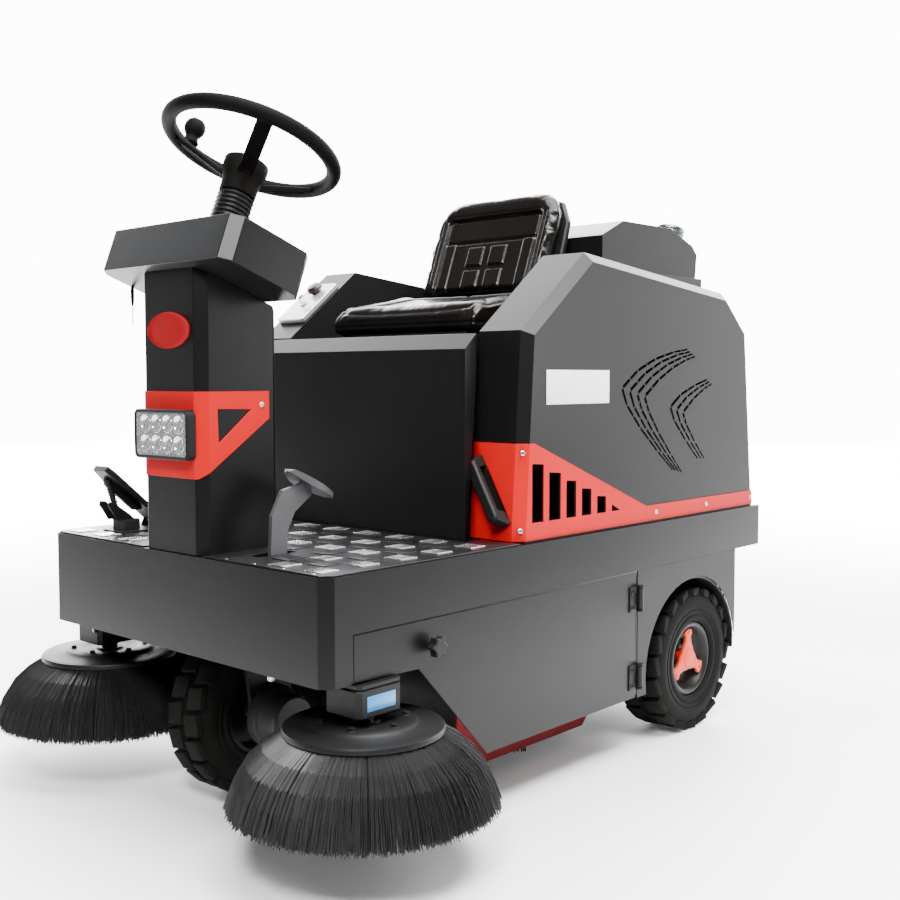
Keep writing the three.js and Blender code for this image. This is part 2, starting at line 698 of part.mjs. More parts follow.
// ---------------------------------------------------------------- side brushes
function brushMotorBox() {
  const { halfX, halfY, bottom, top, corner } = brushMotor;
  const plan = chamfered(-halfX, halfX, -halfY, halfY, corner);
  const box = alongZ(plan, bottom, top, brushMotor.chamfer);
  const plate = alongZ(plan, top + brushMotor.plateLift, top + brushMotor.plate);
  const neck = rod([0, 0, top - 1], [0, 0, top + brushMotor.plateLift + 1], brushMotor.neck);
  const flange = rod([0, 0, bottom - brushMotor.flangeDepth], [0, 0, bottom + 1], brushMotor.flange);
  const guideRod = rod([0, 0, top + brushMotor.plateLift], [0, 0, liftGuide.rodTop], brushMotor.rod);
  return join(box, plate, neck, flange, guideRod);
}

/** Brush plate with a raised clamping ring and the drive spindle. */
function brushDisc() {
  const { discRadius, discBottom, discThickness, shaft, ring, ringRise, sides } = sideBrush;
  const { edge, saucer } = sideBrush;
  const top = discBottom + discThickness;
  const spindleTop = brushMotor.bottom - brushMotor.flangeDepth - GAP;
  return turned([
    [0, discBottom], [discRadius, discBottom], [discRadius, top - edge], [discRadius - edge, top],
    [ring + ringRise, top], [ring, top + ringRise], [shaft, top + saucer], [shaft, spindleTop],
    [0, spindleTop],
  ], sides);
}

/** Flared ring of bristles. */
function brushBristles() {
  const { discRadius, discBottom, tipRadius, tipBottom, root: rootRadius, mat, sides } = sideBrush;
  const { bow, seat: rimSeat } = sideBrush;
  const top = discBottom - GAP;
  return turned([
    [rootRadius, top], [discRadius - rimSeat, top],
    [(discRadius + tipRadius) / 2 + bow, (top + tipBottom) / 2 + bow],
    [tipRadius, tipBottom], [tipRadius - mat, tipBottom + 1],
    [rootRadius, top],
  ], sides);
}

for (const [side, sign] of [['left', 1], ['right', -1]]) {
  const spindle = group(sign * sideBrush.x, sideBrush.y, 0);
  part(`brush_motor_${side}`, brushMotorBox(), black, spindle);
  part(`brush_disc_${side}`, brushDisc(), black, spindle);
  part(`brush_bristles_${side}`, brushBristles(), [0x101010, 0.9, 0], spindle);
}

// ---------------------------------------------------------------- main brush, skirts and hopper
/** Cylindrical brush whose bristle rows sweep in a chevron from both ends to the middle. */
function mainBrushRoll() {
  const { radius, core, halfLength, vanes, steps, sweep, rootAngle, tipAngle } = mainBrush;
  const vane = [[-rootAngle, core], [-tipAngle, radius], [tipAngle, radius], [rootAngle, core]];
  const star = times(vanes, (k) => {
    const middle = (k / vanes) * 2 * Math.PI;
    return vane.map(([angle, r]) => [
      r * Math.cos(middle + angle), r * Math.sin(middle + angle),
    ]);
  }).flat();
  const roll = new THREE.ExtrudeGeometry(outline(star), {
    depth: 2 * halfLength, steps, bevelEnabled: false,
  });
  roll.translate(0, 0, -halfLength);
  const position = roll.attributes.position;
  const point = new THREE.Vector3();
  for (let i = 0; i < position.count; i += 1) {
    point.fromBufferAttribute(position, i);
    point.applyAxisAngle(Z, (sweep * Math.abs(point.z)) / halfLength);
    position.setXYZ(i, point.x, point.y, point.z);
  }
  roll.rotateY(Math.PI / 2);
  const reach = brushHousing.end + brushHousing.endWall - 1;
  return join(roll, rod([-reach, 0, 0], [reach, 0, 0], mainBrush.shaft));
}

const sweepAxis = group(0, mainBrush.y, mainBrush.z);
part('main_brush', mainBrushRoll(), [0x1c1d1f, 0.9, 0], sweepAxis);

/** Arched cover over the main brush with end plates, shaft bearings and two hangers. */
function mainBrushHousing() {
  const { radius, wall, end, endWall, mouth, sides } = brushHousing;
  const { hangerHalf, hangerInset, hangerThickness, hangerRoot } = brushHousing;
  const width = end + endWall;
  const outer = rod([-width, 0, 0], [width, 0, 0], radius + wall, sides);
  const inner = rod([-end, 0, 0], [end, 0, 0], radius, sides);
  const below = block(-FAR, FAR, -FAR, FAR, -FAR, -mouth);
  const hangerX = end - hangerInset - hangerThickness;
  const bearing = bore([-width - 1, 0, 0], [width + 1, 0, 0], mainBrush.shaft);
  const hanger = block(hangerX, hangerX + hangerThickness, -hangerHalf, hangerHalf,
    radius - hangerRoot, deck.top - SHEET - GAP - mainBrush.z);
  return cut(join(outer, hanger, mirrored(hanger)), inner, below, bearing);
}

part('main_brush_housing', mainBrushHousing(), [0x2f3133, 0.5, 0.5], sweepAxis);

const sweepMotor = { flange: 40, flangeDepth: 16, radius: 34, slope: 4, length: 94, cap: 6 };

/** Geared motor on the right-hand end of the main brush. */
function mainBrushMotor() {
  const { flange, flangeDepth, radius, slope, length, cap } = sweepMotor;
  const face = -(brushHousing.end + brushHousing.endWall + 2 * GAP + skirt.thickness);
  const end = face - length;
  return turnedX([
    [0, face], [flange, face], [flange, face - flangeDepth], [radius, face - flangeDepth - slope],
    [radius, end + cap], [radius - cap, end], [0, end],
  ], ROUND_SIDES);
}

part('main_brush_motor', mainBrushMotor(), [0x2b2c2e, 0.5, 0.6], sweepAxis);

/** Red side skirt with a rounded front lower corner. */
function sideSkirt() {
  const { front, rear, bottom, top, corner, cornerSteps, heel } = skirt;
  const arc = times(cornerSteps + 1, (i) => {
    const angle = Math.PI + (i / cornerSteps) * (Math.PI / 2);
    return [
      front + corner + corner * Math.cos(angle),
      bottom + corner + corner * Math.sin(angle),
    ];
  });
  const profile = [
    [front, top], ...arc, [rear - heel, bottom], [rear, bottom + heel], [rear, top],
  ];
  const inner = brushHousing.end + brushHousing.endWall + GAP;
  return alongX(profile, inner, inner + skirt.thickness);
}

pair('side_skirt', sideSkirt(), red);

/** Debris hopper: open top, low front sill, hanging lips and a rear handle. */
function hopperBin() {
  const { halfWidth, front, rear, bottom, top, lip, sill } = hopper;
  const { handleHalf, handleReach, handleDrop, handleBar, grip, nose } = hopper;
  const wall = SHEET;
  const shell = cut(
    alongX([[front, bottom + nose], [front + nose, bottom], [rear, bottom], [rear, top], [front, top]],
      -halfWidth, halfWidth),
    block(-halfWidth + wall, halfWidth - wall, front + wall, rear - wall, bottom + nose + wall, top + 1),
    block(-halfWidth + wall, halfWidth - wall, front - 1, front + wall + 1, bottom + sill, top + 1),
  );
  const lips = [-1, 1].map((s) => {
    const [a, b] = [s * (halfWidth - 1), s * (halfWidth + lip)];
    return block(Math.min(a, b), Math.max(a, b), front, rear, top - wall, top);
  });
  const handle = cut(
    block(-handleHalf, handleHalf, rear - 1, rear + handleReach,
      top - handleDrop - handleBar, top - handleDrop),
    block(-handleHalf + grip, handleHalf - grip, rear - 2, rear + handleReach - grip, bottom, top),
  );
  return join(shell, ...lips, handle);
}

part('hopper', hopperBin(), [0x2a2b2d, 0.55, 0.3]);

// ---------------------------------------------------------------- column and console head
const headFrame = new THREE.Matrix4()
  .makeRotationX(degrees(-head.tilt))
  .setPosition(0, head.front, head.bottom);

const columnPlan = chamfered(-column.halfWidth, column.halfWidth, column.front, column.rear,
  column.corner);

/** Folded steering column, cut off along the underside of the console head. */
function columnHousing() {
  const bottom = deck.top + GAP;
  const top = head.bottom + column.overrun;
  const outer = alongZ(columnPlan, bottom, top);
  const inner = alongZ(inset(columnPlan, column.wall), bottom - 1, top + 1);
  const above = block(-FAR, FAR, -FAR, FAR, -GAP, FAR).applyMatrix4(headFrame);
  return cut(outer, inner, above);
}

part('column_housing', columnHousing(), graphite);

/** Red sheet wrapped round the front of the column, with a window in each cheek. */
function columnTrim() {
  const { columnTop, columnRear, columnBottom, cheekFoot, cheekRear, thickness } = trim;
  const shell = cut(
    alongZ(inset(columnPlan, -GAP - thickness), columnBottom, columnTop),
    alongZ(inset(columnPlan, -GAP), columnBottom - 1, columnTop + 1),
  );
  const cheek = alongX([
    [-FAR, columnBottom - 1], [column.front + SHEET, columnBottom], cheekFoot,
    [columnRear, cheekRear], [columnRear, columnTop + 1], [-FAR, columnTop + 1],
  ], -FAR, FAR);
  const window = alongX(trim.window, -FAR, FAR);
  return cut(common(shell, cheek), window);
}

part('column_trim', columnTrim(), red);

/** Headlamp body with a shallow tray for the lens. */
function lampHousing() {
  const { halfWidth, bottom, top, depth, border, corner, chamfer } = lamp;
  const rear = column.front - trim.thickness - 2 * GAP;
  const body = alongY(chamfered(-halfWidth, halfWidth, bottom, top, corner), rear - depth, rear,
    chamfer);
  const tray = alongY(lampOpening(border), rear - depth - 1, rear - depth + lamp.tray);
  return cut(body, tray);
}

/** Outline of the lamp's front opening, a distance inside the body. */
function lampOpening(edge) {
  const { halfWidth, bottom, top, trayCorner } = lamp;
  return chamfered(-halfWidth + edge, halfWidth - edge, bottom + edge, top - edge, trayCorner);
}

function lampLens() {
  const { depth, border, lens } = lamp;
  const floor = column.front - trim.thickness - 2 * GAP - depth + lamp.tray - GAP;
  return alongY(lampOpening(border + GAP), floor - lens, floor);
}

part('lamp_housing', lampHousing(), black);
part('lamp_lens', lampLens(), [0xf2f4f6, 0.1, 0]);

/** Console head in its own tilted frame: a closed case over the column's mouth. */
function consoleHead() {
  const { halfWidth, depth, height, corner, mouthSide, mouthFront, mouthRear } = head;
  const plan = chamfered(-halfWidth, halfWidth, 0, depth, corner);
  const mouth = block(-column.halfWidth + mouthSide, column.halfWidth - mouthSide,
    mouthFront, depth - mouthRear, -1, SHEET + 1);
  const shaftHole = bore([0, 0, -height / 2], [0, 0, height / 2], steering.shaft)
    .applyMatrix4(shaftFrameIn(headFrame, steering.bellowsBottom - 1));
  return cut(
    alongZ(plan, 0, height),
    alongZ(inset(plan, SHEET), SHEET, height - SHEET),
    mouth,
    shaftHole,
  );
}

/** Steering axis frame at a distance along the axis, seen from another frame. */
function shaftFrameIn(frame, distance) {
  const tilt = degrees(-steering.tilt);
  const shift = new THREE.Matrix4().makeTranslation(0, 0, distance);
  const axis = new THREE.Matrix4().makeRotationX(tilt).setPosition(0, steering.y, steering.z);
  return frame.clone().invert().multiply(axis).multiply(shift);
}

const headGroup = group(0, head.front, head.bottom, -head.tilt);
part('console_head', consoleHead(), graphite, headGroup);

// ---------------------------------------------------------------- steering
const steeringGroup = group(0, steering.y, steering.z, -steering.tilt);

function steeringWheel() {
  const { rim: ring, tube, hub, hubTop, hubBottom, gripSides, gripSteps } = steering;
  const { spokeHalf, spokeDepth, spokeRoot, spokeAngles, spokeCut } = steering;
  const grip = new THREE.TorusGeometry(ring, tube, gripSides, gripSteps);
  const section = chamfered(-spokeHalf, spokeHalf, -spokeDepth / 2, spokeDepth / 2, spokeCut);
  const droop = Math.atan2(spokeRoot - hubTop, ring - hub);
  const spokes = spokeAngles.map((angle) => (
    alongX(section, hub - tube, ring - 2)
      .translate(-ring, 0, 0)
      .rotateY(-droop)
      .translate(ring, 0, 0)
      .rotateZ(degrees(angle))
  ));
  const boss = turned([[0, 0], ...hubProfile], ROUND_SIDES).translate(0, 0, hubBottom);
  return join(grip, boss, ...spokes);
}

part('steering_wheel', steeringWheel(), black, steeringGroup);

/** Upper shaft from the wheel hub to the yoke of the universal joint. */
function upperShaft() {
  const { yokeHalf, yokeHalfDepth, yokeLength } = steering;
  const start = steering.hubBottom - GAP;
  const jointDrop = (steering.y - lowerShaft.y) / Math.sin(degrees(steering.tilt));
  const end = -jointDrop + 12;
  return join(
    rod([0, 0, end], [0, 0, start], steering.shaft),
    block(-yokeHalf, yokeHalf, -yokeHalfDepth, yokeHalfDepth, end - 4, end - 4 + yokeLength),
  );
}

part('steering_shaft', upperShaft(), steel, steeringGroup);

/** Ribbed rubber gaiter between the hub and the console head. */
function bellows() {
  const { bellows: radius, hubBottom, ribs, bellowsBottom: bottom } = steering;
  const { foot, footLip, footRise, waist, clearance } = bellowsForm;
  const top = hubBottom - GAP;
  const pitch = (top - bottom - foot) / ribs;
  const outer = times(ribs, (i) => {
    const z = bottom + foot + i * pitch;
    return [[radius - waist, z], [radius - 1, z + pitch / 2]];
  }).flat();
  const throat = steering.shaft + clearance;
  return turned([
    [throat, bottom], [radius + footLip, bottom], [radius, bottom + footRise], ...outer,
    [radius - waist, top], [throat, top], [throat, bottom],
  ], ROUND_SIDES);
}

part('steering_bellows', bellows(), rubber, steeringGroup);

/** Spinner knob on its neck above the rim. */
function spinnerKnob() {
  return turned(knobProfile, 14).translate(0, 0, steering.tube + GAP);
}

const knobAngle = degrees(spinner.angle);
part('spinner_knob', spinnerKnob(), black, steeringGroup)
  .position.set(steering.rim * Math.cos(knobAngle), steering.rim * Math.sin(knobAngle), 0);

/** Upright shaft inside the column, with the small sprocket and the lower joint yoke. */
function lowerSteeringShaft() {
  const { y, radius, bottom, top } = lowerShaft;
  const { yokeHalf, yokeHalfDepth, yokeLength } = steering;
  return join(
    rod([0, y, bottom], [0, y, top], radius),
    toothed(sprocket.small, sprocket.smallTeeth, 0, y),
    block(-yokeHalf, yokeHalf, y - yokeHalfDepth, y + yokeHalfDepth, top + 4 - yokeLength, top + 4),
  );
}

part('lower_steering_shaft', lowerSteeringShaft(), steel);

// ---------------------------------------------------------------- pedals
function brakePedal() {
  const { x, halfSlot, pivotY, pivotZ, pin, barHalf, hub: hubRadius, arm, pad, padHalf } = brake;
  const bar = alongX([
    [pivotY - hubRadius, pivotZ], [pivotY + hubRadius, pivotZ], ...arm,
  ], x - barHalf, x + barHalf);
  const hubEnd = x + halfSlot - 1;
  const hub = rod([x - halfSlot + 1, pivotY, pivotZ], [hubEnd, pivotY, pivotZ], hubRadius);
  const pinHole = bore([x - halfSlot, pivotY, pivotZ], [hubEnd + 1, pivotY, pivotZ], pin);
  const [padFront, padRear] = [pad[0][0], pad[2][0]];
  const oval = times(ROUND_SIDES, (i) => {
    const angle = ((i + 0.5) / ROUND_SIDES) * 2 * Math.PI;
    return [
      x + padHalf * Math.cos(angle),
      (padFront + padRear) / 2 + ((padRear - padFront) / 2) * Math.sin(angle),
    ];
  });
  const tread = common(alongX(pad, x - padHalf, x + padHalf), alongZ(oval, deck.top, FAR));
  return cut(join(bar, hub, tread), pinHole);
}

part('brake_pedal', brakePedal(), [0xc4c6c8, 0.4, 0.7]);

const accelerator = {
  x: -310, half: 33, heelY: 172, heelZ: 531, toeY: 39, toeZ: 650, plate: 12, hinge: 7, pin: 4,
  toeHalf: 18, toeTaper: 30, rib: 14, ribHalf: 5, baseFront: 70, baseMargin: 6, senderHalf: 22,
  senderLength: 44, senderHeight: 26, ear: 4,
};

/** Sole with a narrowed toe, a stiffening rib underneath and a hinge barrel at the heel. */
function acceleratorPedal() {
  const { x, half, heelY, heelZ, toeY, toeZ, plate, hinge } = accelerator;
  const { toeHalf, toeTaper, rib, ribHalf } = accelerator;
  const length = Math.hypot(heelY - toeY, toeZ - heelZ);
  const along = [(toeY - heelY) / length, (toeZ - heelZ) / length];
  const out = [along[1], -along[0]];
  const at = (run, rise) => [
    heelY + along[0] * run + out[0] * rise, heelZ + along[1] * run + out[1] * rise,
  ];
  const sole = alongX([at(0, 0), at(length, 0), at(length, plate), at(0, plate)],
    x - half, x + half, 2);
  const [taperY, tipY] = [toeY + toeTaper, toeY - plate];
  const plan = [
    [x - half, FAR], [x - half, taperY], [x - toeHalf, tipY], [x + toeHalf, tipY],
    [x + half, taperY], [x + half, FAR],
  ];
  const stiffener = alongX([at(45, 1), at(length - 18, 1), at(length - 30, -rib), at(62, -rib)],
    x - ribHalf, x + ribHalf);
  const [hingeY, hingeZ] = [heelY + 2, heelZ + 2];
  const barrel = rod([x - half + 4, hingeY, hingeZ], [x + half - 4, hingeY, hingeZ], hinge);
  const pinRoom = [-1, 1].map((s) => rod([x + s * (half - 4), hingeY, hingeZ],
    [x + s * (half + 1), hingeY, hingeZ], hinge));
  return join(cut(common(sole, alongZ(plan, 0, FAR)), ...pinRoom), barrel, stiffener);
}

/** Floor bracket with the heel hinge ears and the sender box under the pedal. */
function acceleratorBase() {
  const { x, half, heelY, heelZ, pin, baseFront, baseMargin, ear } = accelerator;
  const { senderHalf, senderLength, senderHeight } = accelerator;
  const floor = deck.top + GAP + tread.thickness + GAP;
  const foot = block(x - half - baseMargin, x + half + baseMargin, baseFront, heelY + 14,
    floor, floor + SHEET);
  const senderFront = baseFront + 10;
  const sender = alongZ(
    chamfered(x - senderHalf, x + senderHalf, senderFront, senderFront + senderLength, 5),
    floor + 2, floor + senderHeight, 2);
  const [hingeY, hingeZ] = [heelY + 2, heelZ + 2];
  const ears = [-1, 1].map((s) => {
    const [a, b] = [x + s * (half + 1), x + s * (half + 1 + ear)];
    return alongX([
      [heelY - 12, floor + 1], [heelY + 12, floor + 1], [heelY + 9, heelZ + 9], [heelY - 5, heelZ + 9],
    ], Math.min(a, b), Math.max(a, b));
  });
  const pins = [-1, 1].map((s) => rod([x + s * (half - 4 + GAP), hingeY, hingeZ],
    [x + s * (half + ear), hingeY, hingeZ], pin, 12));
  return join(foot, sender, ...ears, ...pins);
}

part('accelerator_pedal', acceleratorPedal(), black);
part('accelerator_base', acceleratorBase(), [0x2a2b2d, 0.5, 0.5]);

// ---------------------------------------------------------------- seat hood and seat
function hoodShell() {
  const { front, rear, panHalf, bodyHalf, shoulder, top, slope, panFoot, panDrop } = hood;
  const bottom = deck.top + GAP;
  const bodyProfile = [
    [front, bottom], [rear, bottom], [rear, top], [front + slope, top], [front, shoulder],
  ];
  const panProfile = [
    [front, bottom], [front + panFoot, bottom], [front + slope, shoulder - panDrop],
    [front + slope, top],
    [front, shoulder],
  ];
  const hollowProfile = inset(bodyProfile, SHEET)
    .map(([y, z]) => [y, z < bottom + 10 ? bottom - 1 : z]);
  return cut(
    join(alongX(panProfile, -panHalf, panHalf), alongX(bodyProfile, -bodyHalf, bodyHalf)),
    alongX(hollowProfile, -bodyHalf + SHEET, bodyHalf - SHEET),
  );
}

part('seat_hood', hoodShell(), graphite);

/** Case of the drive battery on the deck, under the hood. */
function batteryPack() {
  const { halfWidth, front, rear, height, corner, lidInset, lidRise, lidCorner } = battery;
  const bottom = deck.top + GAP;
  const plan = chamfered(-halfWidth, halfWidth, front, rear, corner);
  const lidHalf = halfWidth - lidInset;
  const lidPlan = chamfered(-lidHalf, lidHalf, front + lidInset, rear - lidInset, lidCorner);
  const lid = alongZ(lidPlan, bottom + height - 2, bottom + height + lidRise, 3);
  return join(alongZ(plan, bottom, bottom + height), lid);
}

part('battery_pack', batteryPack(), [0x202123, 0.6, 0.2]);

const backFrame = new THREE.Matrix4()
  .makeRotationX(degrees(-back.recline))
  .setPosition(0, back.y, back.z);

const rightOfBack = [
  [back.halfWidth - 14, 0], [back.halfWidth, 16], [back.halfWidth, back.height - back.shoulder],
  [back.topHalf + 22, back.height - 8], [back.topHalf, back.height],
];
const backOutline = [...rightOfBack, ...rightOfBack.map(([x, z]) => [-x, z]).reverse()];

/** Seat plate, two rear straps and the shell behind the backrest. */
function seatFrame() {
  const { plateHalf, plateSetback, plateCorner, strapX, strapHalf, rear } = seat;
  const bottom = hood.top + GAP;
  const plan = chamfered(-plateHalf, plateHalf, seat.front + plateSetback, rear - 6, plateCorner);
  const plate = alongZ(plan, bottom, bottom + seat.pan - 2 * GAP);
  const shellRear = back.pad + back.shell;
  const [inner, outer] = [strapX - strapHalf, strapX + strapHalf];
  const upright = block(inner, outer, shellRear - 1, shellRear - 1 + back.strap, -70, back.height / 2)
    .applyMatrix4(backFrame);
  const foot = block(inner, outer, rear - 30, rear + 22, bottom, bottom + 7);
  const rise = block(inner, outer, rear + 14, rear + 22, bottom, bottom + 66);
  const strap = join(upright, foot, rise);
  const shell = alongY(inset(backOutline, 6), back.pad + GAP, shellRear, 4).applyMatrix4(backFrame);
  return join(plate, strap, mirrored(strap), shell);
}

/** Cushion whose top rises towards the backrest. */
function seatCushion() {
  const { front, rear, frontTop, rearTop, halfWidth, round } = seat;
  const bottom = hood.top + GAP + seat.pan;
  return alongX([
    [front + 8, bottom], [front, bottom + 14], [front + 2, frontTop - round], [front + 16, frontTop],
    [rear - 40, rearTop - 6], [rear - 10, rearTop - 24], [rear - 6, bottom],
  ], -halfWidth, halfWidth, round);
}

const backGroup = group(0, back.y, back.z, -back.recline);
part('seat_frame', seatFrame(), black);
part('seat_cushion', seatCushion(), [0x111111, 0.45, 0]);
part('seat_backrest', alongY(backOutline, 0, back.pad, 8), [0x111111, 0.45, 0], backGroup);

// ---------------------------------------------------------------- fairings
/** The point of the line through a and b at height z. */
function atHeight([ya, za], [yb, zb], z) {
  return [ya + ((yb - ya) * (z - za)) / (zb - za), z];
}

/** Fairing outline run on below the deck, so that its foot can be cut off square. */
const fairingBody = [
  atHeight(fairingProfile[0], fairingProfile[1], deck.top - fairing.foot),
  ...fairingProfile.slice(1, -1),
  atHeight(fairingProfile.at(-1), fairingProfile.at(-2), deck.top - fairing.foot),
];

/** Side fairing block with chamfered outer edges, grown by a distance on every outer face. */
function fairingBlock(grow, inner) {
  const profile = inset(fairingBody, -grow);
  const whole = alongX(profile, inner - 100, fairing.outer + grow, fairing.chamfer);
  return common(whole, block(inner, FAR, -FAR, FAR, deck.top + GAP, FAR));
}

/** Upright ventilation slots that shrink rearwards under the sloping red band. */
function bandSlots() {
  const { strip, slots, slotFall, slotEnd } = redBand;
  const inside = fairing.outer - fairing.chamfer;
  const upright = slots.map(([from, to, top]) => (
    alongX([[from, strip], [to, strip], [to, top - slotFall], [from, top]], inside, FAR)
  ));
  return [...upright, alongX(slotEnd, inside, FAR)];
}

/** The point at share t of the way along the curve through three points. */
function onArm([start, middle, end], t) {
  const blend = [(1 - t) * (1 - 2 * t), 4 * t * (1 - t), t * (2 * t - 1)];
  return [0, 1].map((axis) => blend[0] * start[axis] + blend[1] * middle[axis]
    + blend[2] * end[axis]);
}

/** One row of slots along an arm; they shorten and narrow towards its tip. */
function ventRow(arm, slots) {
  const { widthAtApex, widthAtTip, bridge, apexGap, crowding } = vent;
  const reach = Math.hypot(arm[2][0] - arm[0][0], arm[2][1] - arm[0][1]);
  const share = (i) => 1 - (1 - i / slots) ** crowding;
  return times(slots, (i) => {
    const from = share(i) + (i === 0 ? apexGap : bridge / 2) / reach;
    const to = share(i + 1) - bridge / 2 / reach;
    const [a, b] = [onArm(arm, from), onArm(arm, to)];
    const length = Math.hypot(b[0] - a[0], b[1] - a[1]);
    const normal = [(a[1] - b[1]) / length, (b[0] - a[0]) / length];
    const corner = ([y, z], t, side) => {
      const half = (side * (widthAtApex + (widthAtTip - widthAtApex) * t)) / 2;
      return [y + normal[0] * half, z + normal[1] * half];
    };
    const outlineOfSlot = [corner(a, from, 1), corner(b, to, 1), corner(b, to, -1), corner(a, from, -1)];
    return alongX(outlineOfSlot, fairing.outer - 2 * SHEET, fairing.outer + 1);
  });
}

/** The pierced chevrons: every row lies between the first and the last row of its arm. */
function chevronVents() {
  const between = (first, last, share) => first.map((point, i) => (
    point.map((value, axis) => value + (last[i][axis] - value) * share)
  ));
  return chevrons.flatMap(({ rows, slots, upper, lower }) => (
    [upper, lower].flatMap(([first, last]) => (
      times(rows, (row) => ventRow(between(first, last, row / (rows - 1)), slots)).flat()
    ))
  ));
}

/** Hollow fairing, open at the foot and pierced by the upright slots and the chevrons. */
function fairingShell() {
  const { inner, outer, chamfer, mouth, footFlange } = fairing;
  const hollow = fairingBlock(-SHEET, inner + SHEET);
  const foot = block(inner + SHEET, outer - chamfer, ...mouth, 0, deck.top + footFlange);
  return cut(fairingBlock(0, inner), hollow, ...bandSlots(), ...chevronVents(), foot);
}

/** Red sheet that wraps the foot of the fairing and slopes up to its front edge. */
function fairingTrim() {
  const shell = cut(fairingBlock(GAP + trim.thickness, fairing.inner),
    fairingBlock(GAP, fairing.inner - fairing.chamfer));
  const { bottom, strip, frontTop, diagonalFoot, diagonalHead, rear } = redBand;
  const band = alongX([
    [0, bottom], [rear, bottom], [rear, strip], [diagonalFoot, strip], [diagonalHead, frontTop],
    [0, frontTop],
  ], -FAR, FAR);
  return cut(common(shell, band), ...bandSlots());
}

pair('fairing', fairingShell(), graphite);
pair('fairing_trim', fairingTrim(), red);

const handle = {
  x: 349, z: 616.5, turn: 57.9, half: 78, reach: 40, halfDepth: 13, chamfer: 4,
  bow: [[0, 0], [0, 8], [12, 36], [18, 40]],
  fingers: [[26, 5], [30, 26]],
};

/** Bow handle, given by its half outline as (distance from the end, distance from the wall). */
function grabHandle() {
  const whole = (side) => [
    ...side.map(([from, out]) => [-handle.half + from, -out]),
    ...side.map(([from, out]) => [handle.half - from, -out]).reverse(),
  ];
  const bow = alongZ(whole(handle.bow), -handle.halfDepth, handle.halfDepth, handle.chamfer);
  return cut(bow, alongZ(whole(handle.fingers), -handle.reach, handle.reach));
}

const [lowFront, highFront] = fairingProfile;
const frontLean = Math.atan2(highFront[0] - lowFront[0], highFront[1] - lowFront[1]);
const handleY = lowFront[0] + (handle.z - lowFront[1]) * Math.tan(frontLean)
  - trim.thickness - 2 * GAP;
const handleGroup = group(handle.x, handleY, handle.z, -THREE.MathUtils.radToDeg(frontLean));
part('grab_handle', grabHandle(), black, handleGroup).rotation.y = degrees(handle.turn);

/** Switch panel on the sloping face of the right fairing. */
const slopeStart = fairingProfile[1];
const slopeEnd = fairingProfile[2];
const slopeAngle = Math.atan2(slopeEnd[1] - slopeStart[1], slopeEnd[0] - slopeStart[0]);
const panelAt = 0.5;
const panelGroup = group(
  -(fairing.inner + fairing.outer - fairing.chamfer) / 2,
  slopeStart[0] + panelAt * (slopeEnd[0] - slopeStart[0]),
  slopeStart[1] + panelAt * (slopeEnd[1] - slopeStart[1]),
  THREE.MathUtils.radToDeg(slopeAngle),
);
const panel = { halfX: 46, halfY: 75, height: 12, stopY: 40, stopRadius: 12, keyY: -10, keyRadius: 11 };
const pocketFloor = 2.5;

/** Raised switch panel with a blind pocket under the stop button and the key barrel. */
function controlPanel() {
  const { halfX, halfY, height, stopY, stopRadius, keyY, keyRadius } = panel;
  return cut(
    alongZ(chamfered(-halfX, halfX, -halfY, halfY, 6), GAP, height, 1.5),
    rod([0, stopY, pocketFloor], [0, stopY, height + 1], stopRadius + 2 * GAP),
    rod([0, keyY, pocketFloor], [0, keyY, height + 1], keyRadius + 2 * GAP),
  );
}

const stopTravel = 4;
const stopFoot = pocketFloor + GAP + stopTravel;
const stopCap = panel.height + stopTravel + 1;
const mushroom = [[19, 1], [20, 9], [14, 14], [0, 15]];
const stopButton = turned([
  [0, stopFoot], [panel.stopRadius - GAP, stopFoot], [panel.stopRadius - GAP, stopCap],
  ...mushroom.map(([radius, rise]) => [radius, stopCap + rise]),
], ROUND_SIDES);
const keyTop = panel.height + 4;
const key = join(
  rod([0, 0, pocketFloor + GAP], [0, 0, keyTop], panel.keyRadius - GAP),
  block(-2, 2, -8, 8, keyTop - 1, keyTop + 20),
);
part('control_panel', controlPanel(), [0xd9dadb, 0.35, 0.6], panelGroup);
part('emergency_stop', stopButton, [0xc81812, 0.4, 0], panelGroup).position.y = panel.stopY;
part('key_switch', key, chrome, panelGroup).position.y = panel.keyY;

// ---------------------------------------------------------------- filter housing and its cover
/** Filter box between the fairings, with a ledge for the filter element. */
function filterBox() {
  const { halfWidth, front, rear, top, ledgeDrop, ledge: thickness, ledgeReach } = filterHousing;
  const bottom = deck.top + GAP;
  const ledge = top - ledgeDrop;
  const plan = [[-halfWidth, front], [halfWidth, front], [halfWidth, rear], [-halfWidth, rear]];
  const shell = cut(alongZ(plan, bottom, top), alongZ(inset(plan, SHEET), bottom - 1, top + 1));
  const shelf = cut(alongZ(inset(plan, 1), ledge, ledge + thickness),
    alongZ(inset(plan, ledgeReach), ledge - 1, ledge + thickness + 1));
  return join(shell, shelf);
}

/** Pleated filter element in its frame. */
function dustFilter() {
  const { halfWidth, front, rear, top, ledgeDrop, ledge } = filterHousing;
  const { margin, end, flat, pleats, body, crest } = filterElement;
  const floor = top - ledgeDrop + ledge + GAP;
  const half = halfWidth - margin;
  const pitch = (rear - front - 2 * flat) / pleats;
  const ridge = times(pleats, (i) => {
    const y = front + flat + i * pitch;
    return [[y, floor + body], [y + pitch / 2, floor + crest]];
  }).flat();
  return alongX([
    [front + end, floor], [rear - end, floor], [rear - end, floor + body],
    ...ridge.reverse(), [front + end, floor + body],
  ], -half, half);
}

part('filter_housing', filterBox(), [0x36383a, 0.5, 0.3]);
part('dust_filter', dustFilter(), [0xd8d2bf, 0.9, 0]);

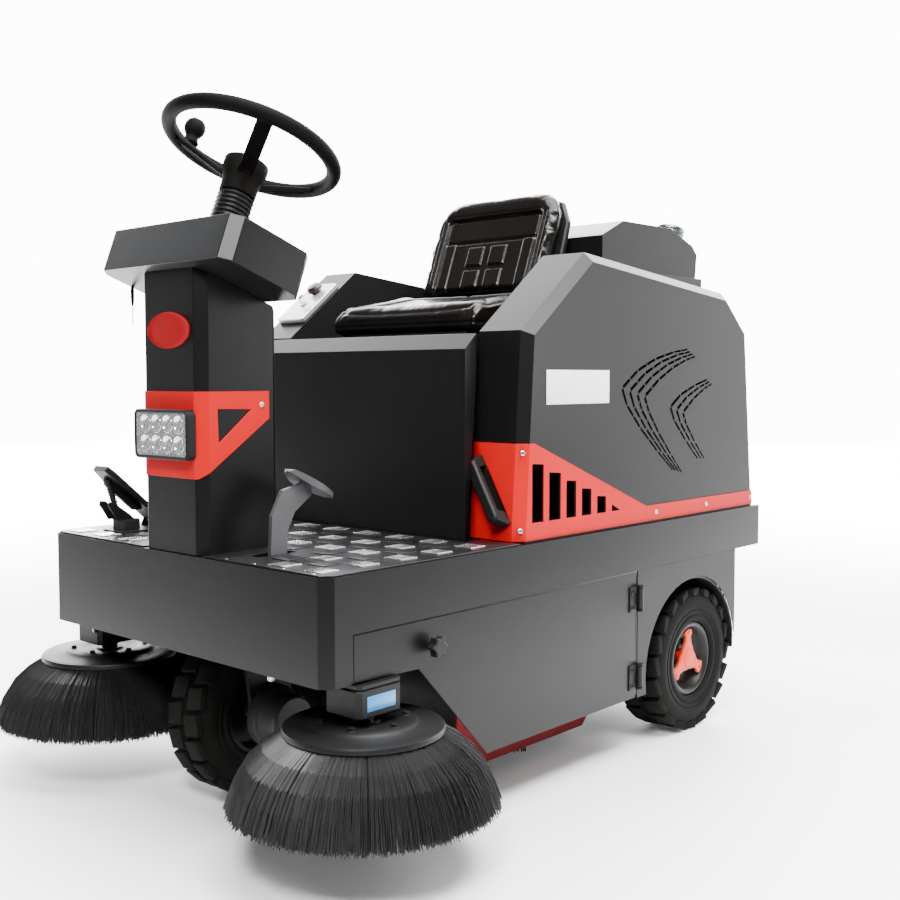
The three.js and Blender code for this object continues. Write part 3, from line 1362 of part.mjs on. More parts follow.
/** Hinged sheet cover with a raised roof that slopes down to the rear. */
function filterCoverShell() {
  const { halfWidth, bottom } = filterCover;
  const hollow = inset(coverProfile, SHEET).map(([y, z]) => [y, z < bottom + 8 ? bottom - 1 : z]);
  return cut(
    alongX(coverProfile, -halfWidth, halfWidth),
    alongX(hollow, -halfWidth + SHEET, halfWidth - SHEET),
  );
}

part('filter_cover', filterCoverShell(), graphite);

const [, , , slopeTop, slopeFoot] = coverProfile;
const capSlope = Math.atan2(slopeTop[1] - slopeFoot[1], slopeFoot[0] - slopeTop[0]);
const capX = 215;
const capGroup = group(capX, (slopeTop[0] + slopeFoot[0]) / 2, (slopeTop[1] + slopeFoot[1]) / 2,
  -THREE.MathUtils.radToDeg(capSlope));

/** Domed cap on a seal ring, as a (radius, height) profile square to the cover's rear slope. */
const capProfile = [
  [0, GAP], [48, GAP], [50, 4], [50, 8], [44, 10], [44, 16], [38, 26], [24, 31], [0, 33],
];
part('vent_cap', turned(capProfile, ROUND_SIDES), chrome, capGroup);

export default root;
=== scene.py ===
"""Ride-on sweeper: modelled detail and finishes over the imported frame, in metres."""
import math
import random
from math import cos, pi, radians, sin

import bmesh
import bpy
from mathutils import Matrix, Vector


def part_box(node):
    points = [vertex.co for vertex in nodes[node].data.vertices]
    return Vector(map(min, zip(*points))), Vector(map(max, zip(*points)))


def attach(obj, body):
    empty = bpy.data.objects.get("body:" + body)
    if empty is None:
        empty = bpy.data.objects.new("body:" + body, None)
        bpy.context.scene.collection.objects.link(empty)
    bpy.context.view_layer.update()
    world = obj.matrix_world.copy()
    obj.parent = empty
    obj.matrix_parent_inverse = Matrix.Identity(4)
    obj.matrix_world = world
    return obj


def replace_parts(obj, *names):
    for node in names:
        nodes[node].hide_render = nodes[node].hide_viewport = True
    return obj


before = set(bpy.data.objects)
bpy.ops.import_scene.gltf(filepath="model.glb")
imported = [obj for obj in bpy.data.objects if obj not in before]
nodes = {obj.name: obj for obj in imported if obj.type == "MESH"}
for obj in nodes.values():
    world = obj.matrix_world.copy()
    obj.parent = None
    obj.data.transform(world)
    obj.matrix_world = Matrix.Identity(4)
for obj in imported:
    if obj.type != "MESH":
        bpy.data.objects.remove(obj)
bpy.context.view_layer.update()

MM = 0.001
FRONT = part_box("deck_frame")[0][1]
SIDE_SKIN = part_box("rear_side_panel_left")[1].x - 0.0145
LEFT, RIGHT = 1, -1
SIDES = ((LEFT, "left"), (RIGHT, "right"))


def spot(x, y, z):
    """A point given in millimetres, with y measured back from the front apron."""
    return Vector((x * MM, FRONT + y * MM, z * MM))


def measured(node):
    """Lowest and highest corner, middle and size of a node's box."""
    low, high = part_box(node)
    return low, high, (low + high) / 2, high - low


# ---- shader nodes
def feed(tree, value, socket):
    """Link a socket, or set a number, colour or vector."""
    if isinstance(value, bpy.types.NodeSocket):
        tree.links.new(value, socket)
    else:
        socket.default_value = value


def add_node(tree, kind, inputs, **settings):
    """A shader node with its settings and its inputs, which are values or sockets."""
    node = tree.nodes.new("ShaderNode" + kind)
    for key, value in settings.items():
        setattr(node, key, value)
    for label, value in inputs.items():
        feed(tree, value, node.inputs[label])
    return node


def arithmetic(tree, operation, first, second=0.0):
    """One Math node between sockets or numbers."""
    return add_node(tree, "Math", {0: first, 1: second}, operation=operation).outputs[0]


def ranged(tree, value, source, target, interpolation="SMOOTHSTEP"):
    """A socket carried from one range to another."""
    labels = ("Value", "From Min", "From Max", "To Min", "To Max")
    return add_node(tree, "MapRange", dict(zip(labels, (value, *source, *target))),
                    interpolation_type=interpolation).outputs["Result"]


def grey(tree, level):
    """A grey colour of one level."""
    return add_node(tree, "CombineColor",
                    dict.fromkeys(("Red", "Green", "Blue"), level)).outputs["Color"]


def object_place(tree):
    """Object coordinates."""
    return add_node(tree, "TexCoord", {}).outputs["Object"]


def object_axes(tree):
    """Object coordinates as single axes."""
    return add_node(tree, "SeparateXYZ", {"Vector": object_place(tree)}).outputs


def object_noise(tree, scale, detail):
    """Noise on object coordinates."""
    inputs = {"Vector": object_place(tree), "Scale": scale, "Detail": detail}
    return add_node(tree, "TexNoise", inputs).outputs["Fac"]


# ---- camera and lights
BACKDROP_SIDE = (-0.67, 0.74, 0.0)
LIGHTS = (
    # name, place, aim, size, power in watts
    ("front_light", (-2.6, -2.4, 3.0), (0, 0, 0.6), 2.0, 4),
    ("corner_light", (1.55, -2.32, 2.57), (0.19, -0.67, 1.08), 0.8, 150),
    ("edge_light", (2.0, -0.16, 3.5), (0.4, -0.06, 1.0), 1.0, 110),
    ("side_light", (2.7, 3.3, 1.35), (0.3, 0.1, 0.6), 2.4, 56),
    ("column_light", (1.25, 0.5, 1.0), (0.1, -0.75, 0.9), 0.5, 5),
    ("top_light", (0.9, 0.0, 3.9), (0.2, 0, 0), 3.0, 440),
    ("rear_light", (-1.6, 3.4, 2.4), (0, 0, 0.7), 2.0, 60),
)


def place_camera():
    """Look at the machine from its front left corner, a little above the deck."""
    bpy.ops.object.camera_add(location=(1.808, -1.9018, 0.8408),
                              rotation=(radians(86.4), 0, radians(42.134)))
    camera = bpy.context.object
    camera.name = "camera"
    camera.data.lens = 45.94
    camera.data.sensor_width = 36
    bpy.context.scene.camera = camera


def light_studio():
    """A white backdrop behind the machine, dimmer surroundings and seven square soft boxes."""
    world = bpy.data.worlds.new("studio")
    world.use_nodes = True
    tree = world.node_tree
    direction = add_node(tree, "TexCoord", {}).outputs["Generated"]
    towards = add_node(tree, "VectorMath", {0: direction, 1: BACKDROP_SIDE},
                       operation="DOT_PRODUCT").outputs["Value"]
    backdrop = tree.nodes["Background"].inputs
    feed(tree, (0.97, 0.98, 1.0, 1), backdrop["Color"])
    feed(tree, ranged(tree, towards, (0.3, 0.86), (0.05, 14.0)), backdrop["Strength"])
    bpy.context.scene.world = world
    for name, place, aim, size, power in LIGHTS:
        bpy.ops.object.light_add(type="AREA", location=place)
        lamp = bpy.context.object
        lamp.name = name
        lamp.data.shape = "SQUARE"
        lamp.data.size = size
        lamp.data.energy = power
        lamp.rotation_euler = (Vector(aim) - Vector(place)).to_track_quat("-Z", "Y").to_euler()


place_camera()
light_studio()


# ---- shader effects
SOCKET_KINDS = {"Color": "NodeSocketColor", "Normal": "NodeSocketVector"}
HALF_GREY = (0.5, 0.5, 0.5, 1)
DUST_COLOUR = (0.33, 0.31, 0.28, 1)
DUST_REACH = 0.35


def new_effect(name, inputs, outputs):
    """Start a shader node group; gives the group, what enters it and what leaves it."""
    effect = bpy.data.node_groups.new(name, "ShaderNodeTree")

    def add_socket(label, end):
        kind = SOCKET_KINDS.get(label, "NodeSocketFloat")
        return effect.interface.new_socket(label, in_out=end, socket_type=kind)

    for label, value in inputs.items():
        add_socket(label, "INPUT").default_value = value
    for label in outputs:
        add_socket(label, "OUTPUT")
    entry, leave = (effect.nodes.new("NodeGroup" + end) for end in ("Input", "Output"))
    return effect, entry.outputs, leave.inputs


def make_grain():
    """Fine moulded or sprayed grain as a normal."""
    effect, given, result = new_effect("fine_grain", {"Scale": 900.0, "Depth": 0.0002},
                                       ["Normal"])
    bump = add_node(effect, "Bump", {"Strength": 1.0, "Distance": given["Depth"],
                                     "Height": object_noise(effect, given["Scale"], 2.0)})
    feed(effect, bump.outputs["Normal"], result["Normal"])
    return effect


def make_drift():
    """Slow drift of tone and gloss over a surface."""
    effect, given, result = new_effect(
        "tone_drift", {"Color": HALF_GREY, "Amount": 0.1, "Scale": 6.0, "Roughness": 0.4,
                       "Spread": 0.1}, ["Color", "Roughness"])
    drift = arithmetic(effect, "SUBTRACT", object_noise(effect, given["Scale"], 4.0), 0.5)
    tone = arithmetic(effect, "MULTIPLY", drift, given["Amount"])
    gloss = arithmetic(effect, "MULTIPLY", drift, given["Spread"])
    shade = add_node(effect, "HueSaturation", {"Value": arithmetic(effect, "ADD", tone, 1.0),
                                               "Color": given["Color"]})
    feed(effect, shade.outputs["Color"], result["Color"])
    feed(effect, arithmetic(effect, "ADD", gloss, given["Roughness"]), result["Roughness"])
    return effect


def make_dust():
    """Pale road dust that thins out with height above the floor."""
    effect, given, result = new_effect(
        "road_dust", {"Color": HALF_GREY, "Amount": 0.3, "Reach": 0.3, "Roughness": 0.5},
        ["Color", "Roughness"])
    fade = ranged(effect, object_axes(effect)["Z"], (0.0, given["Reach"]), (1.0, 0.0), "LINEAR")
    patch = arithmetic(effect, "MULTIPLY", object_noise(effect, 35.0, 5.0), fade)
    mask = arithmetic(effect, "MULTIPLY", patch, given["Amount"])
    mix = add_node(effect, "Mix", {"Factor": mask, "A": given["Color"], "B": DUST_COLOUR},
                   data_type="RGBA")
    feed(effect, mix.outputs["Result"], result["Color"])
    feed(effect, arithmetic(effect, "ADD", given["Roughness"], mask), result["Roughness"])
    return effect


GRAIN = make_grain()
DRIFT = make_drift()
DUST = make_dust()


# ---- finishes
LOOKS = {}


def finish(name, colour, roughness, metal=0.0, coat=0.0, drift=0.12, drift_scale=6.0, spread=0.1,
           grain=(900.0, 0.0001), dust=0.0, specular=0.5):
    """A material with drifting tone, a fine grain and, where asked, road dust."""
    material = bpy.data.materials.new(name)
    material.use_nodes = True
    tree = material.node_tree
    tone = add_node(tree, "Group", {"Color": (*colour, 1), "Amount": drift, "Scale": drift_scale,
                                    "Roughness": roughness, "Spread": spread},
                    node_tree=DRIFT).outputs
    if dust:
        tone = add_node(tree, "Group", {"Color": tone["Color"], "Roughness": tone["Roughness"],
                                        "Amount": dust, "Reach": DUST_REACH},
                        node_tree=DUST).outputs
    fine = add_node(tree, "Group", dict(zip(("Scale", "Depth"), grain)), node_tree=GRAIN)
    shader = tree.nodes["Principled BSDF"].inputs
    for label, value in (("Metallic", metal), ("Coat Weight", coat), ("Coat Roughness", 0.12),
                         ("Specular IOR Level", specular), ("Base Color", tone["Color"]),
                         ("Roughness", tone["Roughness"]), ("Normal", fine.outputs["Normal"])):
        feed(tree, value, shader[label])
    LOOKS[name] = material
    return material


finish("graphite_paint", (0.0044, 0.0045, 0.0048), 0.35, metal=0.1, drift=0.1, drift_scale=3,
       grain=(1400, 6e-5), dust=0.01, specular=0.19)
finish("red_paint", (0.46, 0.002, 0.004), 0.4, drift=0.08, spread=0.08,
       grain=(1200, 4e-5), dust=0.02, specular=0.1)
# A darker copy of the red paint for the skirts, painted shade; the dust on it is real.
finish("shaded_skirt_red", (0.15, 0.003, 0.005), 0.55, drift=0.2, dust=0.05, specular=0.1)
# Two copies of one aluminium: the dark one is painted shade for the sheet and the bars across it,
# the bright one a painted highlight for the bars along it.
finish("tread_aluminium", (0.06, 0.06, 0.063), 0.4, metal=1, drift=0.3, drift_scale=14,
       spread=0.25, grain=(500, 8e-5))
finish("lit_tread_aluminium", (0.86, 0.87, 0.88), 0.24, metal=1, drift=0.1, drift_scale=14,
       spread=0.2, grain=(500, 6e-5))
finish("tyre_rubber", (0.005, 0.005, 0.0045), 0.75, drift=0.35, drift_scale=18,
       grain=(700, 20e-5), dust=0.01, specular=0.06)
finish("rim_black", (0.004, 0.004, 0.004), 0.42, coat=0.02, drift=0.1, grain=(600, 3e-5),
       dust=0.02, specular=0.2)
finish("hub_orange", (0.62, 0.026, 0.002), 0.5, drift_scale=30, grain=(900, 5e-5))
finish("dark_steel", (0.022, 0.022, 0.024), 0.5, metal=0.5, drift=0.3, spread=0.2, dust=0.12,
       specular=0.3)
finish("motor_grey", (0.05, 0.05, 0.053), 0.5, metal=0.6, drift=0.2, dust=0.15)
finish("chain_steel", (0.22, 0.22, 0.23), 0.4, metal=1, drift=0.4, drift_scale=60, spread=0.2)
finish("black_plastic", (0.006, 0.006, 0.006), 0.46, drift=0.2, drift_scale=12,
       grain=(1500, 12e-5), specular=0.2)
finish("steering_grip", (0.004, 0.0035, 0.003), 0.68, drift=0.2, drift_scale=20,
       grain=(2200, 10e-5), specular=0.05)
finish("bristle", (0.012, 0.012, 0.012), 0.34, drift=0.5, drift_scale=80,
       grain=(900, 2e-5), specular=0.8)
finish("gaiter_rubber", (0.012, 0.012, 0.012), 0.55, drift=0.2, grain=(1200, 10e-5),
       specular=0.3)
finish("pedal_metal", (0.11, 0.11, 0.115), 0.46, metal=0.6, drift=0.25, drift_scale=25,
       spread=0.2, grain=(450, 15e-5))
finish("panel_silver", (0.62, 0.63, 0.64), 0.34, metal=0.7, drift=0.08)
finish("key_chrome", (0.78, 0.79, 0.8), 0.1, metal=1, drift=0.05, spread=0.04,
       grain=(300, 1e-5))
finish("stop_red", (0.02, 0.003, 0.003), 0.35, coat=0.1, drift=0.08)
finish("cap_metal", (0.16, 0.19, 0.19), 0.26, metal=0.9, drift=0.15, spread=0.12)
finish("filter_paper", (0.62, 0.57, 0.45), 0.9, drift=0.2, drift_scale=30,
       grain=(1500, 30e-5))
finish("plate_white", (0.86, 0.87, 0.86), 0.35, drift=0.03, grain=(800, 2e-5))
finish("badge_red", (0.26, 0.001, 0.003), 0.5, drift=0.05, specular=0.08)
finish("sticker_blue", (0.02, 0.24, 0.55), 0.35, coat=0.3, drift=0.05)
finish("zinc_screw", (0.55, 0.56, 0.58), 0.28, metal=1, drift=0.2, drift_scale=90)
finish("lamp_bead", (0.06, 0.06, 0.055), 0.1, coat=1, drift=0.04)


def vinyl_finish():
    """Dark vinyl: fine leather grain under a soft gloss."""
    tree = finish("seat_vinyl", (0.0038, 0.0028, 0.0022), 0.24, drift=0.3, drift_scale=9.0,
                  grain=(1100.0, 0.00006), specular=0.28).node_tree
    normal = tree.nodes["Principled BSDF"].inputs["Normal"]
    cells = add_node(tree, "TexVoronoi", {"Vector": object_place(tree), "Scale": 420.0},
                     feature="DISTANCE_TO_EDGE")
    bump = add_node(tree, "Bump", {"Strength": 0.35, "Distance": 0.0004,
                                   "Height": cells.outputs["Distance"],
                                   "Normal": normal.links[0].from_socket})
    feed(tree, bump.outputs["Normal"], normal)


def pane_finish():
    """Clear polycarbonate, seen mostly by its reflections."""
    tree = finish("lamp_pane", (0.9, 0.92, 0.93), 0.05, coat=1.0, drift=0.02, spread=0.02,
                  grain=(200.0, 0.00001)).node_tree
    feed(tree, 0.12, tree.nodes["Principled BSDF"].inputs["Alpha"])


FOOTPRINT = {"X": 0.55, "Y": 0.75}
FLOOR_FADES = {"Y": (-1.9, -1.05), "X": (2.1, 1.2)}
FLOOR_GLOWS = {(-0.1, 0.6): (0.05, 2.0), (1.0, 4.4): (0.0, 12.0)}


def floor_finish():
    """White paper, glowing far out, that darkens in front of the machine and off its left side."""
    material = finish("pale_floor", (0.93, 0.94, 0.95), 0.6, drift=0.01)
    tree = material.node_tree
    axes = object_axes(tree)
    tone = arithmetic(tree, "MULTIPLY", *(ranged(tree, axes[axis], span, (0.03, 0.97))
                                          for axis, span in FLOOR_FADES.items()))
    reach = arithmetic(tree, "MAXIMUM", *(
        arithmetic(tree, "SUBTRACT", arithmetic(tree, "ABSOLUTE", axes[axis]), half)
        for axis, half in FOOTPRINT.items()))
    glow = arithmetic(tree, "ADD", *(ranged(tree, reach, span, level)
                                     for span, level in FLOOR_GLOWS.items()))
    shader = tree.nodes["Principled BSDF"].inputs
    feed(tree, grey(tree, tone), shader["Base Color"])
    feed(tree, grey(tree, arithmetic(tree, "MULTIPLY", tone, glow)), shader["Emission Color"])
    feed(tree, 1.0, shader["Emission Strength"])
    return material


vinyl_finish()
pane_finish()


# ---- modelling helpers
def select_only(*pieces):
    """Leave edit mode and select just these pieces, the first one active."""
    active = bpy.context.view_layer.objects.active
    if active and active.mode != "OBJECT":
        bpy.ops.object.mode_set(mode="OBJECT")
    bpy.ops.object.select_all(action="DESELECT")
    for piece in pieces:
        piece.select_set(True)
    if pieces:
        bpy.context.view_layer.objects.active = pieces[0]


def edit(piece):
    """Open a piece in edit mode with everything selected."""
    select_only(piece)
    bpy.ops.object.mode_set(mode="EDIT")
    bpy.ops.mesh.select_all(action="SELECT")


def pick(piece, kind, test):
    """In edit mode, select only the faces or the edges that pass a test."""
    bpy.ops.mesh.select_all(action="DESELECT")
    mesh = bmesh.from_edit_mesh(piece.data)
    for part in getattr(mesh, kind):
        part.select = test(part)
    bmesh.update_edit_mesh(piece.data)


def extrude(*step):
    """In edit mode, extrude the selection by a step."""
    bpy.ops.mesh.extrude_region_move(TRANSFORM_OT_translate={"value": Vector(step)})


def close_up(piece, gap=2e-6):
    """Merge doubled points and turn every face outwards."""
    edit(piece)
    bpy.ops.mesh.remove_doubles(threshold=gap)
    bpy.ops.mesh.normals_make_consistent(inside=False)
    select_only(piece)
    return piece


def settle(piece, place):
    """Carry a piece to its place and keep that place in its mesh."""
    select_only(piece)
    piece.matrix_world = place @ piece.matrix_world
    bpy.ops.object.transform_apply(location=True, rotation=True, scale=True)
    return piece


def apply_all(piece):
    """Apply every modifier of a piece."""
    select_only(piece)
    for modifier in list(piece.modifiers):
        bpy.ops.object.modifier_apply(modifier=modifier.name)
    return piece


def modified(piece, kind, **settings):
    """Add a modifier with its settings and apply it."""
    modifier = piece.modifiers.new(kind.lower(), kind)
    for key, value in settings.items():
        setattr(modifier, key, value)
    return apply_all(piece)


def rounded(piece, width, segments=2, angle=30):
    """Round every edge that is sharper than the angle."""
    return modified(piece, "BEVEL", width=width, segments=segments, limit_method="ANGLE",
                    angle_limit=radians(angle))


def smoothed(piece, angle=35, weighted=False):
    """Shade smoothly up to an angle; weighted keeps broad flats flat."""
    select_only(piece)
    bpy.ops.object.shade_smooth_by_angle(angle=radians(angle))
    return modified(piece, "WEIGHTED_NORMAL", keep_sharp=True) if weighted else piece


def traced(name, points):
    """Extrude one vertex along a row of points; the piece is left in edit mode."""
    select_only()
    bpy.ops.mesh.primitive_plane_add(size=0.01, location=points[0])
    piece = bpy.context.object
    piece.name = name
    bpy.ops.object.transform_apply(location=True)
    edit(piece)
    bpy.ops.mesh.merge(type="CENTER")
    for here, there in zip(points, points[1:]):
        extrude(*(Vector(there) - Vector(here)))
    bpy.ops.mesh.select_all(action="SELECT")
    return piece


def plate(name, points, depth):
    """A flat outline in metres, filled and extruded by a vector."""
    piece = traced(name, points)
    bpy.ops.mesh.edge_face_add()
    extrude(*depth)
    return close_up(piece)


def lathed(name, profile, steps=64):
    """A (radius, height) profile in millimetres spun about Z."""
    piece = traced(name, [(r * MM, 0, z * MM) for r, z in profile])
    bpy.ops.mesh.spin(steps=steps, angle=2 * pi, center=(0, 0, 0), axis=(0, 0, 1))
    return close_up(piece, 1e-5)


def bar(name, centre, size):
    """A box that is still to be shaped."""
    select_only()
    bpy.ops.mesh.primitive_cube_add(size=1, location=centre, scale=size)
    piece = bpy.context.object
    piece.name = name
    bpy.ops.object.transform_apply(location=True, scale=True)
    return piece


def linked(piece):
    """Put a new object in the scene."""
    bpy.context.scene.collection.objects.link(piece)
    return piece


def copied(piece):
    """A copy with its own mesh."""
    copy = linked(piece.copy())
    copy.data = piece.data.copy()
    return copy


def joined(name, *pieces):
    """Several pieces as one."""
    select_only(*pieces)
    bpy.ops.object.join()
    piece = bpy.context.object
    piece.name = name
    return piece


def twin(piece, place):
    """A copy with its own mesh, carried to another place."""
    copy = copied(piece)
    copy.data.transform(place)
    return copy


def repeated(name, pattern, places):
    """Copies of one modelled pattern at many places, as one piece."""
    copies = [twin(pattern, place) for place in places]
    bpy.data.objects.remove(pattern)
    return joined(name, *copies)


def moved(*step):
    """A place reached by a step in metres."""
    return Matrix.Translation(step)


def ring(count, offset=(0, 0, 0), start=0.0):
    """Places spaced evenly round Z."""
    return [Matrix.Rotation(start + 2 * pi * k / count, 4, "Z") @ moved(*offset)
            for k in range(count)]


def tilted(x, y, z, lean):
    """The frame at a point whose Z axis leans back by an angle in degrees."""
    return moved(*spot(x, y, z)) @ Matrix.Rotation(radians(-lean), 4, "X")


def facing(point, direction):
    """A place that turns Z to a direction."""
    return moved(*point) @ Vector(direction).to_track_quat("Z", "Y").to_matrix().to_4x4()


def wheel_place(centre, side):
    """A place that turns Z to the machine's left or right."""
    return moved(*centre) @ Matrix.Rotation(side * pi / 2, 4, "Y")


def fit(piece, body, slot, look=None, place=None):
    """Settle a piece; give it the finish of its look, or else of its slot, and the body that
    carries it.
    """
    if place is not None:
        settle(piece, place)
    piece.data.materials.clear()
    piece.data.materials.append(LOOKS[look or slot])
    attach(piece, body)
    return piece


SHARP_ANGLE, SHORTEST_EDGE = 25, 2.5


def refined(node, body, slot, width, look=None, crisp=None):
    """Stand a copy with joined faces and rounded edges in for a rigid node.

    The width is in millimetres. Edges whose two ends pass the crisp test stay sharp.
    """
    copy = copied(nodes[node])
    copy.parent = None
    for key in list(copy.keys()):
        del copy[key]
    copy.name = node + "_skin"
    close_up(copy)
    edit(copy)
    bpy.ops.mesh.dissolve_limited(angle_limit=radians(0.5))
    pick(copy, "edges", lambda edge: (
        len(edge.link_faces) == 2 and edge.calc_face_angle(0) > radians(SHARP_ANGLE)
        and edge.calc_length() > SHORTEST_EDGE * width * MM
        and not (crisp and all(crisp(v.co) for v in edge.verts))))
    if width:
        bpy.ops.mesh.bevel(offset=width * MM, segments=2, affect="EDGES", clamp_overlap=True)
    fit(smoothed(copy, 40, weighted=True), body, slot, look)
    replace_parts(copy, node)
    return copy


# ---- screws and bolts
def button_screw():
    """Domed head with a hexagonal socket, on Z, in its final size."""
    head = lathed("screw", [(0, -0.6), (5.6, -0.6), (5.8, 0.4), (5.0, 1.9), (3.4, 2.7),
                            (2.4, 2.8)], 24)
    socket = lathed("screw_socket", [(2.5, 2.8), (2.3, 1.2), (0, 1.1)], 6)
    return smoothed(joined("screw", head, socket), 40)


def hex_bolt(across, height):
    """Hexagonal head on a washer."""
    select_only()
    bpy.ops.mesh.primitive_cylinder_add(
        vertices=6, radius=across * MM / 2 / cos(pi / 6), depth=height * MM,
        location=(0, 0, height * MM / 2 + 0.0012))
    head = rounded(bpy.context.object, 0.0006)
    washer = lathed("washer", [(0, 0), (across * 0.78, 0), (across * 0.8, 0.6),
                               (across * 0.74, 1.3), (0, 1.3)], 32)
    return smoothed(joined("bolt", head, washer), 40)


def at_side(y, z, x, side=LEFT):
    """Places a fastener on a side wall, its head outwards."""
    return facing(spot(side * x, y, z), (side, 0, 0))


def fasten(name, fastener, places):
    """Bright fasteners of one pattern on the chassis."""
    fit(repeated(name, fastener, places), "chassis", "key_chrome", "zinc_screw")


# ---- sheet metal and castings
SLOT_DEPTH = 0.0035
LONGEST_SLOT = 0.1


def vent_slots(node):
    """Middle, direction, width, corner count and y-z box of each slot in a panel's own mesh."""
    low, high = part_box(node)
    outer = max(abs(low.x), abs(high.x))
    mesh = bmesh.new()
    mesh.from_mesh(nodes[node].data)
    bmesh.ops.remove_doubles(mesh, verts=mesh.verts, dist=1e-6)
    walls = {f for f in mesh.faces if abs(f.normal.x) < 0.1
             and min(abs(v.co.x) for v in f.verts) > outer - SLOT_DEPTH}
    slots = []
    while walls:
        group, queue = [], [walls.pop()]
        while queue:
            face = queue.pop()
            group.append(face)
            near = {f for e in face.edges for f in e.link_faces} & walls
            walls -= near
            queue += near
        rims = {e for f in group for e in f.edges
                if all(abs(v.co.x) > outer - 1e-4 for v in e.verts)}
        corners = {v for e in rims for v in e.verts}
        longest = max(rims, key=lambda e: e.calc_length())
        along = (longest.verts[1].co - longest.verts[0].co).normalized()
        middle = sum((v.co for v in corners), Vector()) / len(corners)
        across = along.cross(Vector((1, 0, 0)))
        width = 2 * sum(abs((v.co - middle).dot(across)) for v in corners) / len(corners)
        box = [(min(v.co[k] for v in corners), max(v.co[k] for v in corners)) for k in (1, 2)]
        if all(end - start < LONGEST_SLOT for start, end in box):
            slots.append((middle, along, width, len(corners), box))
    mesh.free()
    return sorted(slots, key=lambda slot: tuple(slot[0]))


def in_slots(slots):
    """A test for points that lie in the y-z box of any slot."""
    def test(point):
        return any(all(low - 1e-4 < point[k] < high + 1e-4
                       for k, (low, high) in zip((1, 2), box))
                   for *_, box in slots)
    return test


def blacken(piece, test):
    """Give the faces whose centre passes a test black plastic as a second finish; used for real
    black parts and for painted shade in vent slots.
    """
    piece.data.materials.append(LOOKS["black_plastic"])
    for face in piece.data.polygons:
        if test(face.center):
            face.material_index = 1


def vented_panel(node, slot, width):
    """A refined panel whose slots keep crisp edges, with their walls painted black as shade."""
    inside = in_slots(vent_slots(node))
    skin = refined(node, "chassis", slot, width, crisp=inside)
    low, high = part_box(node)
    outer = max(abs(low.x), abs(high.x)) - 0.0002
    # The slot walls are painted black as shade falling into the slots.
    blacken(skin, lambda c: abs(c.x) < outer and inside(c))


RIGID_NODES = (
    # node, body, slot, rounding in millimetres
    ("deck_frame", "chassis", "graphite_paint", 1.6),
    ("axle_frame", "chassis", "dark_steel", 1.2),
    # The tread sheet takes the dark aluminium copy, painted shade.
    ("tread_plate", "chassis", "tread_aluminium", 0.6),
    ("column_housing", "chassis", "graphite_paint", 2.0),
    ("column_trim", "chassis", "red_paint", 0.7),
    ("console_head", "chassis", "graphite_paint", 2.6),
    ("seat_hood", "hood", "graphite_paint", 2.2),
    ("filter_cover", "filter_lid", "graphite_paint", 2.6),
    ("filter_housing", "chassis", "dark_steel", 1.0),
    ("dust_filter", "chassis", "filter_paper", 0),
    ("battery_pack", "chassis", "black_plastic", 2.5),
    ("hopper", "hopper", "dark_steel", 1.5),
    ("main_brush_housing", "chassis", "dark_steel", 0.8),
    ("main_brush_motor", "chassis", "motor_grey", 1.5),
    ("drive_motor", "fork", "motor_grey", 1.5),
    ("front_fork", "fork", "dark_steel", 1.2),
    ("steering_chain", "chassis", "chain_steel", 0),
    ("steering_shaft", "steering", "chain_steel", 0.6),
    ("lower_steering_shaft", "lower_shaft", "chain_steel", 0.6),
    ("brake_pedal", "brake", "pedal_metal", 1.8),
    ("accelerator_pedal", "accelerator", "black_plastic", 1.8),
    ("accelerator_base", "chassis", "dark_steel", 0.8),
    ("seat_frame", "hood", "black_plastic", 1.6),
    ("grab_handle", "chassis", "black_plastic", 3.0),
    ("control_panel", "chassis", "panel_silver", 1.2),
    ("emergency_stop", "stop", "stop_red", 1.6),
    ("key_switch", "key", "key_chrome", 0.5),
)


def dress_side_nodes(_side, name):
    """Rounded copies of one side's nodes whose CAD shape is right."""
    refined(f"side_door_{name}", f"door_{name}", "graphite_paint", 0.9)
    refined(f"rear_side_panel_{name}", "chassis", "graphite_paint", 0.8)
    # The skirt wears the darker red, painted shade.
    refined(f"side_skirt_{name}", "chassis", "red_paint", 1.2, "shaded_skirt_red")
    vented_panel(f"fairing_{name}", "graphite_paint", 2.2)
    vented_panel(f"fairing_trim_{name}", "red_paint", 0.8)
    refined(f"brush_motor_{name}", f"brush_lift_{name}", "black_plastic", 1.0)


HINGES = {"upper": 355, "lower": 181}
HINGE_AXIS, HINGE_LEAF, SCREW_SEAT = (437, 918), (431.6, 897), 433.0


def dress_door(side, name):
    """Black star knob, hinge leaves and knuckles on a door."""
    for part, rise in ((f"side_door_{name}", 0.009), (f"rear_side_panel_{name}", 0.0005)):
        blacken(bpy.data.objects[part + "_skin"], lambda c: abs(c.x) > SIDE_SKIN + rise)
    for level, z in HINGES.items():
        leaf = rounded(bar(f"door_hinge_{level}_{name}",
                           spot(side * HINGE_LEAF[0], HINGE_LEAF[1], z),
                           (0.003, 0.027, 0.056)), 0.0008)
        knuckle = lathed("knuckle", [(0, -29), (6.0, -29), (7.6, -28), (7.6, -24.4),
                                     (0, -24.4)], 24)
        foot = spot(side * HINGE_AXIS[0], HINGE_AXIS[1], z)
        ends = [moved(*foot), moved(*(foot + Vector((0, 0, 0.0534))))]
        leaf = joined(leaf.name, leaf, repeated("knuckles", knuckle, ends))
        fit(smoothed(leaf), f"door_{name}", "black_plastic")
        screws = [at_side(y, z + dz, SCREW_SEAT, side) for y in (891, 903)
                  for dz in (-18, 18)]
        fit(repeated(f"hinge_screws_{level}_{name}", button_screw(), screws),
            f"door_{name}", "black_plastic")


